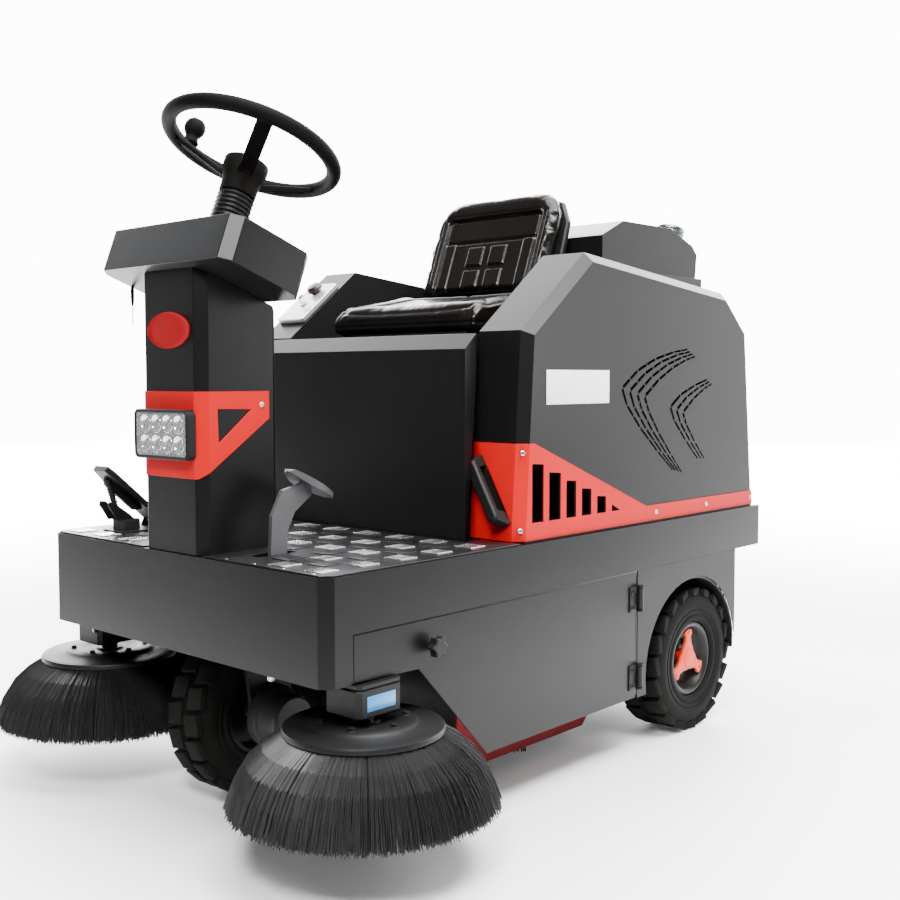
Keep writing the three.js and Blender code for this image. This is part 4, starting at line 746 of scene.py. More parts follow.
def shade_door_gaps(side, name):
    """Black strips along the gaps above and behind a door, painting the shadow in those gaps as
    dark lines.
    """
    _, _, middle, size = measured(f"side_door_{name}")
    x = side * (SIDE_SKIN - 0.001)
    above = bar("above", (x, middle.y, 0.415), (0.003, size.y, 0.0042))
    behind = bar("behind", (x, FRONT + 0.9125, 0.274), (0.003, 0.006, 0.27))
    gap_shade = joined(f"door_gap_shade_{name}", rounded(above, 0.0008), rounded(behind, 0.0008))
    fit(smoothed(gap_shade), "chassis", "black_plastic")


TRIM_SCREWS = (
    # x, y and z in millimetres, then the way the head faces
    ((421.2, 1004, 538), (1, 0, 0)), ((421.2, 1449, 538), (1, 0, 0)),
    ((421.2, 1226, 538), (1, 0, 0)), ((307, 515.6, 540), (0, -1, 0.06)),
    ((413.6, 528, 694), (1, -1, 0.04)), ((413.6, 521, 541), (1, -1, 0.04)),
)


def fasten_trims(side, name):
    """Screws of the red panels."""
    fasten(f"trim_screws_{name}", button_screw(),
           [facing(spot(side * x, y, z), (side * a, b, c))
            for (x, y, z), (a, b, c) in TRIM_SCREWS])


def fasten_column_and_apron():
    """Screws of the column and bolts under the apron."""
    fasten("column_screws", button_screw(), [at_side(140, 790, 97.3, s) for s, _ in SIDES])
    fasten("apron_bolts", hex_bolt(10, 5),
           [facing(spot(s * 284, 8, 325), (s, -0.3, 0)) for s, _ in SIDES])


WEB_LENGTH, WIDEST_SLOT = 0.012, 0.012


def bridge_vents(side, name):
    """Split every chevron slot in two with a narrow web level with the skin."""
    web = rounded(bar("web", (0, 0, -0.00135), (0.0042, WEB_LENGTH, 0.0027)), 0.0004, 1)
    out = Vector((side, 0, 0))
    places = []
    for middle, along, width, corners, _ in vent_slots(f"fairing_{name}"):
        if corners == 4 and width <= WIDEST_SLOT:
            turn = Matrix((along, out.cross(along), out)).transposed().to_4x4()
            places.append(moved(*middle) @ turn
                          @ Matrix.Diagonal((1, (width + 0.0012) / WEB_LENGTH, 1, 1)))
    fit(smoothed(repeated(f"vent_webs_{name}", web, places)), "chassis", "graphite_paint")


ARCH_Y, ARCH_Z, LINER_REAR = 1158, 168, 1358
LINER_RADII = (199, 206)
LINER_ARC = [radians(a) for a in range(0, 183, 7)]
LINER_INNER, LINER_OUTER = 0.3066, SIDE_SKIN - 0.0034


def line_wheel_arch(side, name):
    """Dark liner rolled round a rear wheel between the skin and the axle plate."""
    front, back = [[spot(0, min(ARCH_Y + radius * cos(a), LINER_REAR),
                         ARCH_Z + radius * sin(a)) for a in LINER_ARC] for radius in LINER_RADII]
    back.reverse()
    start = Vector((min(side * LINER_INNER, side * LINER_OUTER), 0, 0))
    liner = plate(f"arch_liner_{name}", [p + start for p in front + back],
                  (LINER_OUTER - LINER_INNER, 0, 0))
    wall = plate("arch_wall", [p + Vector((side * LINER_INNER, 0, 0)) for p in back],
                 (side * 0.0015, 0, 0))
    fit(smoothed(joined(liner.name, liner, wall), 30), "chassis", "black_plastic")


# ---- tread sheet
GROUP_PITCH, BAR_STEP, GROUP_REACH = 0.094, 0.0084, 0.0215
PEDAL_SLOT = (spot(146, 58, 0), spot(186, 156, 0))
HOOD_HALF = 0.33


def raised_bar():
    """One raised bar of the tread, pointed at both ends, along X."""
    piece = bar("raised_bar", (0, 0, 0.0006), (0.042, 0.0076, 0.0026))
    edit(piece)
    pick(piece, "faces", lambda face: abs(face.normal.x) > 0.9)
    bpy.ops.transform.resize(value=(1, 0.6, 0.5), center_override=(0, 0, -0.0006))
    return smoothed(rounded(piece, 0.0006, 2, 20), 60)


def lay_tread_bars():
    """Groups of five bars in turn along and across the sheet, clear of all that stands on it."""
    low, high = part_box("tread_plate")
    hood_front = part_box("seat_hood")[0].y
    blocked = [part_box("column_housing"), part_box("accelerator_base"), PEDAL_SLOT,
               (Vector((-HOOD_HALF, hood_front - 0.004, 0)), Vector((HOOD_HALF, high.y, 0)))]

    def within(centre, start, end, gap):
        return all(start[k] + gap[k] < centre[k] < end[k] - gap[k] for k in (0, 1))

    inset = (GROUP_REACH + 0.006, GROUP_REACH + 0.008)
    overlap = (-GROUP_REACH, -GROUP_REACH)
    rows = {"along": [], "across": []}
    for i in range(-9, 10):
        for j in range(11):
            centre = Vector((i * GROUP_PITCH / 2, low.y + 0.036 + j * GROUP_PITCH / 2, high.z))
            if ((i + j) % 2 or not within(centre, low, high, inset)
                    or any(within(centre, a, b, overlap) for a, b in blocked)):
                continue
            turn = Matrix.Rotation(radians(90 * (j % 2)), 4, "Z")
            rows["across" if j % 2 else "along"] += [
                moved(*centre) @ turn @ moved(0, k * BAR_STEP, 0) for k in range(-2, 3)]
    # Bars along the sheet get the bright copy as a painted highlight, bars across it the dark copy
    # as painted shade.
    for way, look in (("along", "lit_tread_aluminium"), ("across", "tread_aluminium")):
        fit(repeated(f"tread_bars_{way}", raised_bar(), rows[way]), "chassis",
            "tread_aluminium", look)
    rivet = lathed("rivet", [(0, -0.3), (3.6, -0.3), (3.4, 0.5), (2.0, 1.2), (0, 1.4)], 16)
    fasten("tread_rivets", smoothed(rivet),
           [moved(x * MM, low.y + 0.007, high.z) for x in range(-390, 391, 78)])


# ---- wheels
TYRE_LUGS = 20
LUG_SLANT = 0.2


def tyre_lug(radius, half):
    """One shoulder block: slanted, rounded and running down on to the sidewall."""
    pitch = 2 * pi * radius / TYRE_LUGS
    length, width = pitch * 0.78, half * 0.86
    piece = bar("lug", (half - width / 2, 0, radius - 0.008), (width, length, 0.016))
    edit(piece)
    pick(piece, "faces", lambda face: face.normal.x > 0.9)
    bpy.ops.transform.resize(value=(1, 1.16, 1.0), center_override=(half, 0, radius - 0.008))
    extrude(-0.001, 0, -0.013)
    bpy.ops.transform.resize(value=(1, 1.0, 0.9), center_override=(half, 0, radius - 0.03))
    rounded(close_up(piece), 0.0022, 2, 25)
    piece.data.transform(moved(0, 0, radius) @ Matrix.Rotation(LUG_SLANT, 4, "Z")
                         @ moved(0, 0, -radius))
    return smoothed(piece, 40)


def tyre(name, centre, radius, half, bead, body):
    """Solid rubber tyre about X: ribbed sidewalls, a carcass and blocks on both shoulders."""
    floor = radius - 11
    side = [(bead, -half + 9), (bead + 3, -half + 4), (bead + 9, -half + 1.5),
            (bead + 15, -half + 2.5), (bead + 17, -half + 4.0), (bead + 19, -half + 2.2),
            (bead + 27, -half + 0.8), (bead + 29, -half + 2.6), (bead + 31, -half + 1.0),
            (radius - 38, -half + 0.6), (radius - 24, -half + 2.5), (floor - 3, -half + 6),
            (floor, -half + 12)]
    profile = side + [(r, -x) for r, x in reversed(side)]
    carcass = smoothed(lathed(name + "_carcass", profile, 96), 50)
    settle(carcass, Matrix.Rotation(pi / 2, 4, "Y"))
    turns = []
    for k in range(TYRE_LUGS):
        angle = 2 * pi * k / TYRE_LUGS
        turns += [Matrix.Rotation(angle, 4, "X"),
                  Matrix.Rotation(angle + pi / TYRE_LUGS, 4, "X") @ Matrix.Rotation(pi, 4, "Z")]
    tread = repeated(name + "_tread", tyre_lug((radius - 2) * MM, half * MM), turns)
    return fit(joined(name + "_rubber", carcass, tread), body, "tyre_rubber",
               place=moved(*centre))


def rim(name, centre, radius, half, side, body):
    """Deep pressed dish with a rolled lip and a ring of wheel nuts, open towards one side."""
    dish = lathed(name + "_dish", [
        (0, half - 32), (24, half - 32), (30, half - 33), (radius - 34, half - 33),
        (radius - 26, half - 30), (radius - 18, half - 14), (radius - 13, half - 3),
        (radius - 9, half + 0.5), (radius - 4, half + 1), (radius - 0.5, half - 1.5),
        (radius - 0.4, -half), (radius - 8, -half), (radius - 12, -half + 12),
        (radius - 16, half - 40), (0, half - 40)], 80)
    smoothed(dish, 50)
    nuts = repeated(name + "_nuts", hex_bolt(15, 9), ring(5, (0.038, 0, (half - 33) * MM)))
    return fit(joined(name + "_dish", dish, nuts), body, "rim_black",
               place=wheel_place(centre, side))


def hub_cap(name, centre, side, body):
    """Orange cap: a domed boss on a stem with three broad arms, one pointing up."""
    boss = lathed("boss", [(0, -17), (19, -17), (19, 0.5), (27, 1.5), (28, 7), (26, 11),
                           (19, 13.6), (9, 15.0), (0, 15.4)], 48)
    edge = [(8, -25), (22, -21), (36, -13), (50, -10), (58, -15), (66, -16), (69, -9)]
    outline = edge + [(70, 0)] + [(x, -y) for x, y in reversed(edge)]
    arm = plate("arm", [Vector((x, y, 1)) * MM for x, y in outline], (0, 0, 0.01))
    arms = repeated("arms", rounded(arm, 0.003, 3, 40), ring(3, start=pi))
    screw = lathed("screw", [(0, 10), (4.6, 10), (4.6, 12.4), (3.4, 13.4), (0, 13.6)], 20)
    screws = repeated("screws", screw, ring(3, (0.061, 0, 0), pi))
    return fit(smoothed(joined(name, boss, arms, screws), 50), body, "hub_orange",
               place=wheel_place(centre, side))


def wheel(tyre_node, rim_node, body, side, bead, rim_radius):
    """The tyre and the rim of one wheel, its radii in millimetres; gives the wheel's centre."""
    _, _, centre, size = measured(tyre_node)
    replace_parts(tyre(tyre_node, centre, centre.z / MM, size.x / 2 / MM, bead, body), tyre_node)
    _, _, middle, size = measured(rim_node)
    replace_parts(rim(rim_node, middle, rim_radius, size.x / 2 / MM, side, body), rim_node)
    return centre


def rear_wheel(side, name):
    """A rear wheel with its cap."""
    body, cap = f"rear_wheel_{name}", f"hub_cap_{name}"
    centre = wheel(f"rear_tyre_{name}", f"rear_rim_{name}", body, side, bead=88.5, rim_radius=88)
    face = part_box(cap)[0 if side > 0 else 1].x
    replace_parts(hub_cap(cap, Vector((face, centre.y, centre.z)), side, body), cap)


# ---- side brushes and main brush
STRAND_POINTS = 5
SIDE_STRANDS = 5200
ROOT_RADII, TIP_RADIUS = (0.098, 0.138), 0.196
TIP_SCATTER, SWAY, LENGTH_SPREAD, LONGEST, BOW = 0.15, 0.012, 0.025, 1.03, 0.02
SWEEP_ROWS, SWEEP_STRANDS = 8, 420
SWEEP_RADIUS, SWEEP_HALF, CORE_RADIUS = 0.121, 0.25, 0.058
CHEVRON_TWIST = 0.9


def strand_mesh(name, strands, thickness):
    """Many tapering three-sided strands, each given as a row of points."""
    points, faces = [], []
    for row in strands:
        start = len(points)
        along = (row[-1] - row[0]).normalized()
        across = along.orthogonal().normalized()
        beside = along.cross(across)
        for n, point in enumerate(row):
            size = thickness * (1 - 0.35 * n / (len(row) - 1)) / 2
            for angle in (2 * pi * k / 3 for k in range(3)):
                points.append(point + across * (size * cos(angle)) + beside * (size * sin(angle)))
        last = start + 3 * (len(row) - 1)
        for a in range(start, last, 3):
            b = a + 3
            faces += [(a + k, a + (k + 1) % 3, b + (k + 1) % 3, b + k) for k in range(3)]
        faces += [(start + 2, start + 1, start), (last, last + 1, last + 2)]
    mesh = bpy.data.meshes.new(name)
    mesh.from_pydata(points, [], faces)
    return linked(bpy.data.objects.new(name, mesh))


def flared_strand(draw, centre, root, tip, top, bottom, share, angle):
    """One bristle that leaves the disc downwards and bows out to its tip."""
    inner = root[0] + (root[1] - root[0]) * share
    spread = TIP_SCATTER * draw.random() + (1 - TIP_SCATTER) * share
    outer = tip[0] + (tip[1] - tip[0]) * spread
    sway = draw.gauss(0, SWAY)
    length = 1 + draw.gauss(0, LENGTH_SPREAD)
    row = []
    for n in range(STRAND_POINTS):
        t = n / (STRAND_POINTS - 1) * min(length, LONGEST)
        bow = BOW * sin(pi * min(t, 1)) * (0.5 + share)
        reach = inner + (outer - inner) * t + bow * 0.5
        height = top + (bottom - top) * t + bow * 0.45
        turn = angle + sway * t
        row.append(centre + Vector((reach * cos(turn), reach * sin(turn), height)))
    return row


def side_brush(side, name):
    """Disc, strands and spindle of a side brush."""
    body = f"side_brush_{name}"
    low, high, middle, size = measured(f"brush_bristles_{name}")
    centre = Vector((middle.x, middle.y, 0))
    draw = random.Random(11 + side)
    strands = []
    for k in range(SIDE_STRANDS):
        share = math.sqrt(draw.random())
        strands.append(flared_strand(
            draw, centre, ROOT_RADII, (TIP_RADIUS, size.x / 2 + 0.002), high.z,
            low.z + 0.001, share, 2 * pi * k / SIDE_STRANDS + draw.gauss(0, 0.004)))
    fibres = strand_mesh(f"side_bristles_{name}", strands, 0.003)
    fit(fibres, body, "bristle")
    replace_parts(fibres, f"brush_bristles_{name}")
    disc = lathed(f"side_disc_{name}", [
        (0, 238), (139, 238), (141, 240), (141, 246), (139, 249), (128, 251.5), (98, 252),
        (93, 256), (88, 259), (60, 258.5), (54, 255.6), (30, 255), (27, 258), (12, 258),
        (12, 266), (0, 266)], 96)
    bolts = repeated("ring_bolts", hex_bolt(10, 5), ring(6, (0.074, 0, 0.2585)))
    disc = joined(disc.name, smoothed(disc, 40), bolts)
    fit(disc, body, "black_plastic", place=moved(*centre))
    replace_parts(disc, f"brush_disc_{name}")
    sleeve = lathed(f"spindle_sleeve_{name}", [
        (12.4, 258.4), (17, 258.4), (17.5, 259.2), (17.5, 264.6), (16.8, 265.4),
        (12.4, 265.4), (12.4, 258.4)], 40)
    fit(smoothed(sleeve, 40), body, "key_chrome", place=moved(*centre))


def sweeping_brush():
    """Core tube and eight chevron rows of stiff fibres."""
    _, _, middle, _ = measured("main_brush")
    draw = random.Random(5)
    strands = []
    for row in range(SWEEP_ROWS):
        for k in range(SWEEP_STRANDS):
            x = -SWEEP_HALF + 2 * SWEEP_HALF * k / (SWEEP_STRANDS - 1)
            angle = (2 * pi * row / SWEEP_ROWS + CHEVRON_TWIST * abs(x) / SWEEP_HALF
                     + draw.gauss(0, 0.05))
            line = []
            for n in range(3):
                reach = CORE_RADIUS + ((SWEEP_RADIUS - CORE_RADIUS) * n / 2
                                       * (1 - 0.02 * draw.random()))
                turn = angle + draw.gauss(0, 0.01) * n
                line.append(Vector((x + draw.gauss(0, 0.001), middle.y + reach * cos(turn),
                                    middle.z + reach * sin(turn))))
            strands.append(line)
    fibres = strand_mesh("sweeping_fibres", strands, 0.0034)
    end = [(0, -261), (14, -261), (14, -253), (58, -252), (60, -250)]
    core = lathed("sweeping_core", end + [(r, -x) for r, x in reversed(end)], 48)
    fit(smoothed(core, 40), "sweep_roll", "black_plastic",
        place=wheel_place((0, middle.y, middle.z), LEFT))
    fit(fibres, "sweep_roll", "bristle")
    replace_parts(fibres, "main_brush")


# ---- steering
STEERING = tilted(0, 200, 1286, 22)
GRIP_RADIUS, KNOB_RADIUS, KNOB_ANGLE = 0.165, 0.167, radians(-167)
SPOKES = (-30, -150, 90)
GAITER_FOOT, GAITER_TOP, RIB_PITCH = -215, -103.4, 9.2


def steering_wheel():
    """Moulded rim, deep cup of a hub and three straps dished from the rim to the cup's foot."""
    select_only()
    bpy.ops.mesh.primitive_torus_add(major_radius=GRIP_RADIUS, minor_radius=0.0145,
                                     major_segments=96, minor_segments=20)
    grip = bpy.context.object
    hub = lathed("hub", [(0, -103), (34, -103), (35.5, -101.5), (36, -82), (37.2, -74),
                         (40.5, -64), (42.5, -56), (43.5, -48), (43.5, -36), (42.5, -32.5),
                         (40, -31), (36, -31), (34, -33), (12, -34), (0, -34)], 64)
    foot, head = Vector((0.037, 0, -0.066)), Vector((0.162, 0, -0.004))
    run = (head - foot).length
    strap = bar("strap", (run / 2, 0, 0), (run, 0.03, 0.011))
    edit(strap)
    pick(strap, "faces", lambda face: face.normal.z < -0.9)
    bpy.ops.mesh.inset(thickness=0.0055, depth=-0.004)
    rounded(strap, 0.0022, 3, 30)
    slope = math.atan2(head.z - foot.z, head.x - foot.x)
    strap.data.transform(moved(*foot) @ Matrix.Rotation(-slope, 4, "Y"))
    straps = repeated("straps", strap, [Matrix.Rotation(radians(a), 4, "Z") for a in SPOKES])
    whole = smoothed(joined("steering_wheel_moulding", grip, hub, straps), 40)
    fit(whole, "steering", "black_plastic", "steering_grip", STEERING)
    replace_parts(whole, "steering_wheel")


def steering_gaiter():
    """Rubber bellows with narrow ribs between the hub and the console."""
    bottom, top = GAITER_FOOT, GAITER_TOP
    profile = [(16, bottom), (38, bottom), (38, bottom + 4), (36, bottom + 6), (31, bottom + 8)]
    foot = bottom + 8
    while foot + RIB_PITCH < top - 1:
        profile += [(30.5, foot + 2.2), (35, foot + 4.0), (36, foot + 5.0), (35, foot + 6.0),
                    (30.5, foot + 7.8)]
        foot += RIB_PITCH
    profile += [(30, top), (16, top), (16, bottom)]
    gaiter = smoothed(lathed("steering_gaiter", profile, 64), 50)
    fit(gaiter, "chassis", "gaiter_rubber", place=STEERING)
    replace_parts(gaiter, "steering_bellows")


def spinner_knob():
    """Pear-shaped knob that turns on its collar above the rim."""
    knob = lathed("spinner_knob_moulding", [
        (0, 14.9), (16.0, 14.9), (16.6, 16), (15.8, 20), (13.4, 24), (13.0, 29), (14.0, 32),
        (17.8, 36.5), (20.4, 42), (21.4, 48.5), (20.6, 55.5), (18.0, 61.5), (13.5, 66), (7, 68.6),
        (0, 69.2)], 48)
    place = STEERING @ moved(KNOB_RADIUS * cos(KNOB_ANGLE), KNOB_RADIUS * sin(KNOB_ANGLE), 0)
    fit(smoothed(knob, 50), "spinner", "black_plastic", "steering_grip", place)
    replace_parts(knob, "spinner_knob")


# ---- headlamp, badge and labels
CELL_STEP_X, CELL_STEP_Z = 0.0352, 0.0372


def headlamp():
    """Rounded bezel with two rows of four reflectors behind a clear pane."""
    low, _, middle, size = measured("lamp_housing")
    shell = bar("lamp_bezel", middle, size)
    edit(shell)
    pick(shell, "edges", lambda edge: (
        abs(edge.verts[0].co.y - edge.verts[1].co.y) > 0.9 * edge.calc_length()))
    bpy.ops.mesh.bevel(offset=0.012, segments=5, affect="EDGES")
    pick(shell, "faces", lambda face: face.normal.y < -0.9)
    bpy.ops.mesh.inset(thickness=0.0062, depth=0)
    extrude(0, 0.011, 0)
    smoothed(rounded(close_up(shell), 0.0016, 3, 40), 40, weighted=True)
    fit(shell, "chassis", "black_plastic")
    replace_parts(shell, "lamp_housing")

    def sheet(name, y, thickness, inset, height=None):
        """A thin plate across the bezel, at a depth behind its front."""
        return bar(name, (middle.x, low.y + y, middle.z),
                   (size.x - inset, thickness, height or size.z - inset))

    cells = [facing((middle.x + (i - 1.5) * CELL_STEP_X, low.y + 0.0035,
                     middle.z + (j - 0.5) * CELL_STEP_Z), (0, -1, 0))
             for i in range(4) for j in range(2)]
    bowl = lathed("bowl", [(5.2, -8.6), (8, -7.6), (11.5, -5.0), (14.2, -2.2), (15.6, 0),
                           (16.6, 0.6), (17.2, 0), (17.2, -1.5), (15.0, -3.5), (8, -9.4),
                           (5.2, -9.6), (5.2, -8.6)], 40)
    bowls = repeated("lamp_reflectors", smoothed(bowl, 50), cells)
    tray = rounded(sheet("tray", 0.0103, 0.002, 0.014), 0.0004)
    rib = rounded(sheet("rib", 0.0047, 0.0032, 0.016, 0.0022), 0.0006)
    fit(smoothed(joined("lamp_tray", tray, rib)), "chassis", "lamp_glass", "black_plastic")
    fit(bowls, "chassis", "lamp_glass", "key_chrome")
    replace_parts(bowls, "lamp_lens")
    bead = lathed("bead", [(0, -8.8), (5.0, -8.8), (5.4, -7.2), (4.4, -4.4), (2.6, -2.9),
                           (0, -2.4)], 24)
    fit(smoothed(repeated("lamp_beads", bead, cells), 60), "chassis", "lamp_glass", "lamp_bead")
    pane = rounded(sheet("lamp_pane", 0.0016, 0.0012, 0.013), 0.0004)
    fit(smoothed(pane), "chassis", "lamp_glass", "lamp_pane")


def badge_column():
    """Bare oval badge on the front of the column."""
    badge = lathed("column_badge", [(0, -0.5), (1000, -0.5), (1000, 1.0), (985, 1.9), (950, 2.0),
                                    (925, 1.5), (700, 2.1), (350, 2.5), (0, 2.6)], 96)
    edit(badge)
    bpy.ops.transform.resize(value=(0.067, 0.034, 1), center_override=(0, 0, 0))
    select_only(badge)
    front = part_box("column_housing")[0].y
    fit(smoothed(badge, 40), "chassis", "red_paint", "badge_red",
        facing((0, front - 0.0002, 0.928), (0, -1, 0)))


FAIRING_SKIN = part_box("fairing_left")[1].x


def label_side(side, name):
    """Bare side plate and the plain sticker on the lift motor."""
    centre = spot(0, 706, 822) + Vector((side * (FAIRING_SKIN + 0.0004), 0, 0))
    label = bar(f"side_plate_{name}", centre, (0.001, 0.218, 0.069))
    fit(smoothed(rounded(label, 0.0004)), "chassis", "panel_silver", "plate_white")
    low, high, middle, _ = measured(f"brush_motor_{name}")
    face = (high if side > 0 else low).x
    sticker = bar(f"motor_sticker_{name}", (face + side * 0.0002, middle.y, 0.297),
                  (0.0006, 0.066, 0.026))
    fit(smoothed(rounded(sticker, 0.0002)), f"brush_lift_{name}", "panel_silver",
        "sticker_blue")


# ---- upholstery
CLOTH = {"quality": 6, "mass": 0.3, "tension_stiffness": 15, "compression_stiffness": 15,
         "bending_stiffness": 0.5, "use_pressure": True}
CLOTH_STEPS = 20


def swollen(name, core, voxel, pressure, limit):
    """An even mesh over a closed shape, filled by air pressure; no point moves past a limit."""
    piece = twin(core, Matrix.Identity(4))
    piece.name = name
    modified(piece, "REMESH", mode="VOXEL", voxel_size=voxel)
    bpy.data.objects.remove(core)
    rest = [v.co.copy() for v in piece.data.vertices]
    settings = piece.modifiers.new("filling", "CLOTH").settings
    for key, value in CLOTH.items():
        setattr(settings, key, value)
    settings.uniform_pressure_force = pressure
    settings.effector_weights.gravity = 0
    scene = bpy.context.scene
    for step in range(CLOTH_STEPS):
        scene.frame_set(step + 1)
    apply_all(piece)
    scene.frame_set(1)
    for vertex, start in zip(piece.data.vertices, rest):
        move = vertex.co - start
        if move.length > limit:
            vertex.co = start + move.normalized() * limit
    return piece


def groove(distance, width, depth):
    """Depth of a stitched channel at a distance from its line."""
    return -depth * math.exp(-(distance / width) ** 2)


def plateau(distance, half, edge=0.0045):
    """One inside a strip, falling softly to nought over its edge."""
    t = min(max((half - abs(distance)) / edge + 0.5, 0), 1)
    return t * t * (3 - 2 * t)


def roll(depth, width, height):
    """Height of a padded roll at a depth inside its outline."""
    return height * sin(pi * min(max(depth / width, 0), 1))


def inside_distance(x, z, half_x, half_z, corner):
    """How far a point lies inside a rounded rectangle."""
    a, b = abs(x) - half_x + corner, abs(z) - half_z + corner
    outer = math.hypot(max(a, 0), max(b, 0)) + min(max(a, b), 0)
    return corner - outer


def shaped(piece, place, relief):
    """Push each point along its normal by a relief worked out in the pad's own frame."""
    to_pad = place.inverted()
    turn = to_pad.to_3x3()
    moves = [v.normal * relief(to_pad @ v.co, turn @ v.normal) for v in piece.data.vertices]
    for vertex, move in zip(piece.data.vertices, moves):
        vertex.co += move
    return piece


BACKREST = tilted(0, 874, 1057, 20.5)
BACK_HEIGHT = 0.239
BACK_HALF_X, BACK_HALF_Z, BACK_CORNER, BACK_ROLL = 0.192, 0.116, 0.06, 0.05
UPPER_CHANNEL, LOWER_CHANNEL = 0.0665, 0.0035
SQUARES = [(x, z) for x in (-0.035, 0.035) for z in (-0.037, -0.098)]
SQUARE_HALF = 0.024
BACK_FACING, BACK_FADE = 0.15, 0.35


def backrest_relief(point, normal):
    """Double roll round both sides and the top, two cross channels and four raised squares."""
    if normal.y > -BACK_FACING:
        return 0.0
    front = min(1.0, (-normal.y - BACK_FACING) / BACK_FADE)
    x, z = point.x, point.z - BACK_HEIGHT / 2
    side = BACK_HALF_X - abs(x)
    depth = min(inside_distance(x, max(z, 0), BACK_HALF_X, BACK_HALF_Z, BACK_CORNER), side)
    relief = roll(depth, BACK_ROLL, 0.0055) + groove(depth - BACK_ROLL, 0.0046, 0.007)
    if z < 0.075:
        relief += groove(side - 0.034, 0.003, 0.004) * plateau(z + 0.02, 0.085, 0.02)
    if depth > BACK_ROLL:
        relief += sum(groove(z - line, 0.0036, 0.0055)
                      for line in (UPPER_CHANNEL, LOWER_CHANNEL)) - 0.003
        if z < LOWER_CHANNEL:
            relief += 0.0045 * plateau(abs(x) - 0.126, 0.019) + 0.005 * sum(
                plateau(x - a, SQUARE_HALF) * plateau(z - b, SQUARE_HALF) for a, b in SQUARES)
    return relief * front


CUSHION_LOW, CUSHION_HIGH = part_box("seat_cushion")
CUSHION_WIDTH = CUSHION_HIGH.x - CUSHION_LOW.x
CUSHION_LENGTH = CUSHION_HIGH.y - CUSHION_LOW.y
CUSHION_CORNER, CUSHION_FLAT = 0.06, 0.064
CUSHION_CHANNELS = (-0.12, -0.06, 0.0, 0.06, 0.12)
CUSHION_FACING, CUSHION_FADE = 0.2, 0.4


def cushion_relief(point, normal):
    """Side bolsters, a front roll and lengthwise channels on the seat cushion."""
    piping = groove(point.z + 0.034, 0.003, 0.0025) if abs(normal.z) < 0.6 else 0.0
    if normal.z < CUSHION_FACING:
        return piping
    top = min(1.0, (normal.z - CUSHION_FACING) / CUSHION_FADE)
    depth = inside_distance(point.x, point.y, CUSHION_WIDTH / 2 - 0.004,
                            CUSHION_LENGTH / 2 - 0.004, CUSHION_CORNER)
    relief = roll(depth, CUSHION_CORNER, 0.005)
    relief += groove(depth - CUSHION_FLAT, 0.0045, 0.007) + groove(depth - 0.018, 0.0028, 0.0025)
    if depth > CUSHION_FLAT:
        relief += sum(groove(point.x - line, 0.0036, 0.0045) for line in CUSHION_CHANNELS) - 0.003
    return relief * top + piping


def upholster(pad, place, relief, node):
    """Cover a filled pad in vinyl, with its relief, in place of its node."""
    modified(pad, "SUBSURF", levels=1, render_levels=1)
    fit(smoothed(shaped(pad, place, relief), 180), "hood", "seat_vinyl")
    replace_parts(pad, node)


def upholstery():
    """Padded vinyl cushion and backrest, blown up from slightly smaller shells."""
    edge = [(0.184, -0.016), (0.19, -0.004), (0.19, 0.15), (0.185, 0.19), (0.168, 0.222),
            (0.142, 0.239), (0.11, 0.245)]
    outline = [(-0.184, -0.016)] + edge + [(-x, z) for x, z in reversed(edge[1:])]
    core = plate("back_core", [(x, 0.006, z) for x, z in outline], (0, 0.026, 0))
    settle(rounded(core, 0.009, 3, 40), BACKREST)
    pad = swollen("seat_back_pad", core, voxel=0.0046, pressure=3.0, limit=0.007)
    upholster(pad, BACKREST, backrest_relief, "seat_backrest")

    low, high = CUSHION_LOW, CUSHION_HIGH
    core = plate("seat_core", [(low.x + 0.008, y, z) for y, z in (
        (low.y + 0.012, low.z + 0.002), (low.y + 0.006, low.z + 0.016),
        (low.y + 0.008, low.z + 0.036), (low.y + 0.022, low.z + 0.05),
        (low.y + 0.05, low.z + 0.054), (high.y - 0.05, high.z - 0.014),
        (high.y - 0.018, high.z - 0.03), (high.y - 0.01, low.z + 0.03),
        (high.y - 0.01, low.z + 0.002))], (CUSHION_WIDTH - 0.016, 0, 0))
    rounded(core, 0.016, 4, 30)
    pad = swollen("seat_pad", core, voxel=0.006, pressure=4.0, limit=0.008)
    upholster(pad, moved(*(low + high) / 2), cushion_relief, "seat_cushion")


# ---- small fittings
def vent_cap():
    """Turned metal cap with a knurled grip on the rear slope of the filter cover."""
    slope = tilted(215, 1354, 1196.5, 18.3)
    cap = lathed("vent_cap_turned", [
        (0, 2.2), (33.5, 2.2), (35.5, 4), (36, 8), (35.5, 11), (33.6, 12), (33.6, 19),
        (36.2, 21), (36.8, 25), (35.4, 29), (31, 31.6), (22, 32.4), (0, 32.8)], 72)
    flute = bar("flute", (0.034, 0, 0.0155), (0.0024, 0.0026, 0.0064))
    flutes = repeated("flutes", rounded(flute, 0.0007), ring(36))
    flange = lathed("vent_cap_flange", [(0, 0.4), (49, 0.4), (50, 1.2), (49, 2.2), (0, 2.4)], 72)
    fit(smoothed(flange, 40), "filter_lid", "graphite_paint", place=slope)
    whole = smoothed(joined("vent_cap_turned", cap, flutes), 40)
    fit(whole, "filter_lid", "cap_metal", place=slope @ moved(0.01, 0.009, 0))
    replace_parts(whole, "vent_cap")


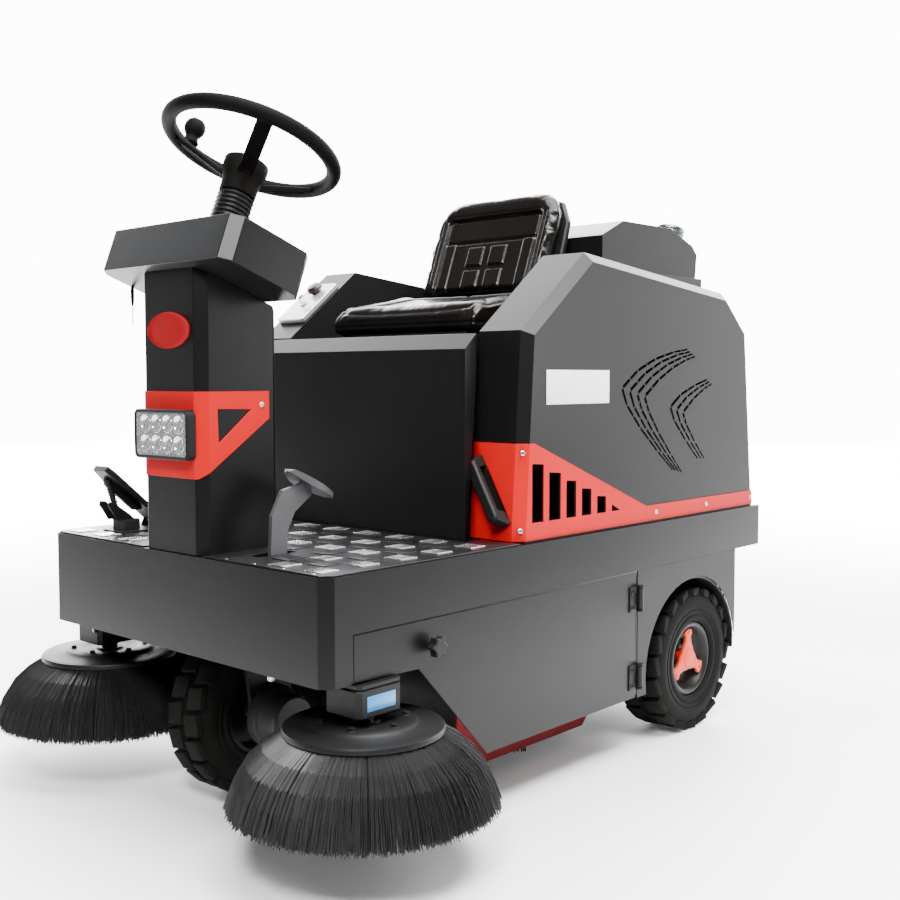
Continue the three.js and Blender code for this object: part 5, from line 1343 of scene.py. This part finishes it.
def accelerator_bracket():
    """Two cheeks on the accelerator's base and the sprung link below the pedal between them."""
    low, high, middle, _ = measured("accelerator_base")
    cheek = plate("cheek", [Vector((-0.003, low.y + y, high.z + z)) for y, z in (
        (0.000, -0.001), (0.04, -0.001), (0.03, 0.01), (0.006, 0.027), (-0.006, 0.038),
        (-0.018, 0.04), (-0.021, 0.032), (-0.008, 0.012))], (0.006, 0, 0))
    cheeks = repeated("accelerator_cheeks", rounded(cheek, 0.0012),
                      [moved(middle.x + dx, 0, 0) for dx in (-0.017, 0.017)])
    fit(smoothed(cheeks, 40), "chassis", "black_plastic")
    coils = [(0, 0), (5.6, 0)]
    for k in range(7):
        coils += [(5.6, 6 + 6 * k), (7.6, 8 + 6 * k), (7.6, 9 + 6 * k), (5.6, 11 + 6 * k)]
    link = lathed("accelerator_link", coils + [(9, 50), (9, 60), (0, 60)], 24)
    fit(smoothed(link, 50), "accelerator", "black_plastic",
        place=facing((middle.x, low.y + 0.006, high.z + 0.028), (0, -0.018, 0.057)))


def hanging_lead():
    """Short sleeved lead with a thin wire below the right end of the console head."""
    sleeve = lathed("hanging_lead_sleeve", [
        (0, -38), (1.4, -38), (3.0, -32), (3.6, -20), (3.6, -2), (2.6, 0), (0, 0)], 16)
    wire = lathed("hanging_lead_wire", [(0, -76), (1.1, -76), (1.1, -37), (0, -37)], 8)
    fit(smoothed(joined("hanging_lead", sleeve, wire), 40), "chassis", "black_plastic",
        place=moved(*spot(-191, 50, 1020.6)))


def battery_terminals():
    """Two bright posts on the battery under the hood."""
    low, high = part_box("battery_pack")
    post = lathed("battery_posts", [(0, 0), (13, 0), (13, 3), (9, 5), (8, 14), (6.5, 15),
                                    (0, 15)], 32)
    fasten("battery_posts", smoothed(post), [moved(x, low.y + 0.05, high.z)
                                             for x in (-0.13, 0.13)])


def on_both_sides(build):
    """Build something on the left, then on the right."""
    for side, name in SIDES:
        build(side, name)


on_both_sides(dress_side_nodes)
for row in RIGID_NODES:
    refined(*row)
on_both_sides(dress_door)
on_both_sides(shade_door_gaps)
on_both_sides(fasten_trims)
fasten_column_and_apron()
on_both_sides(bridge_vents)
on_both_sides(line_wheel_arch)
lay_tread_bars()
on_both_sides(rear_wheel)
wheel("front_tyre", "front_rim", "front_wheel", RIGHT, bead=84.5, rim_radius=84)
on_both_sides(side_brush)
sweeping_brush()
steering_wheel()
steering_gaiter()
spinner_knob()
headlamp()
badge_column()
on_both_sides(label_side)
upholstery()
vent_cap()
accelerator_bracket()
hanging_lead()
battery_terminals()


# ---- floor
bpy.ops.object.select_all(action="DESELECT")
bpy.ops.mesh.primitive_plane_add(size=24, location=(0, 0, 0))
floor = bpy.context.object
floor.name = "floor"
floor.data.materials.append(floor_finish())
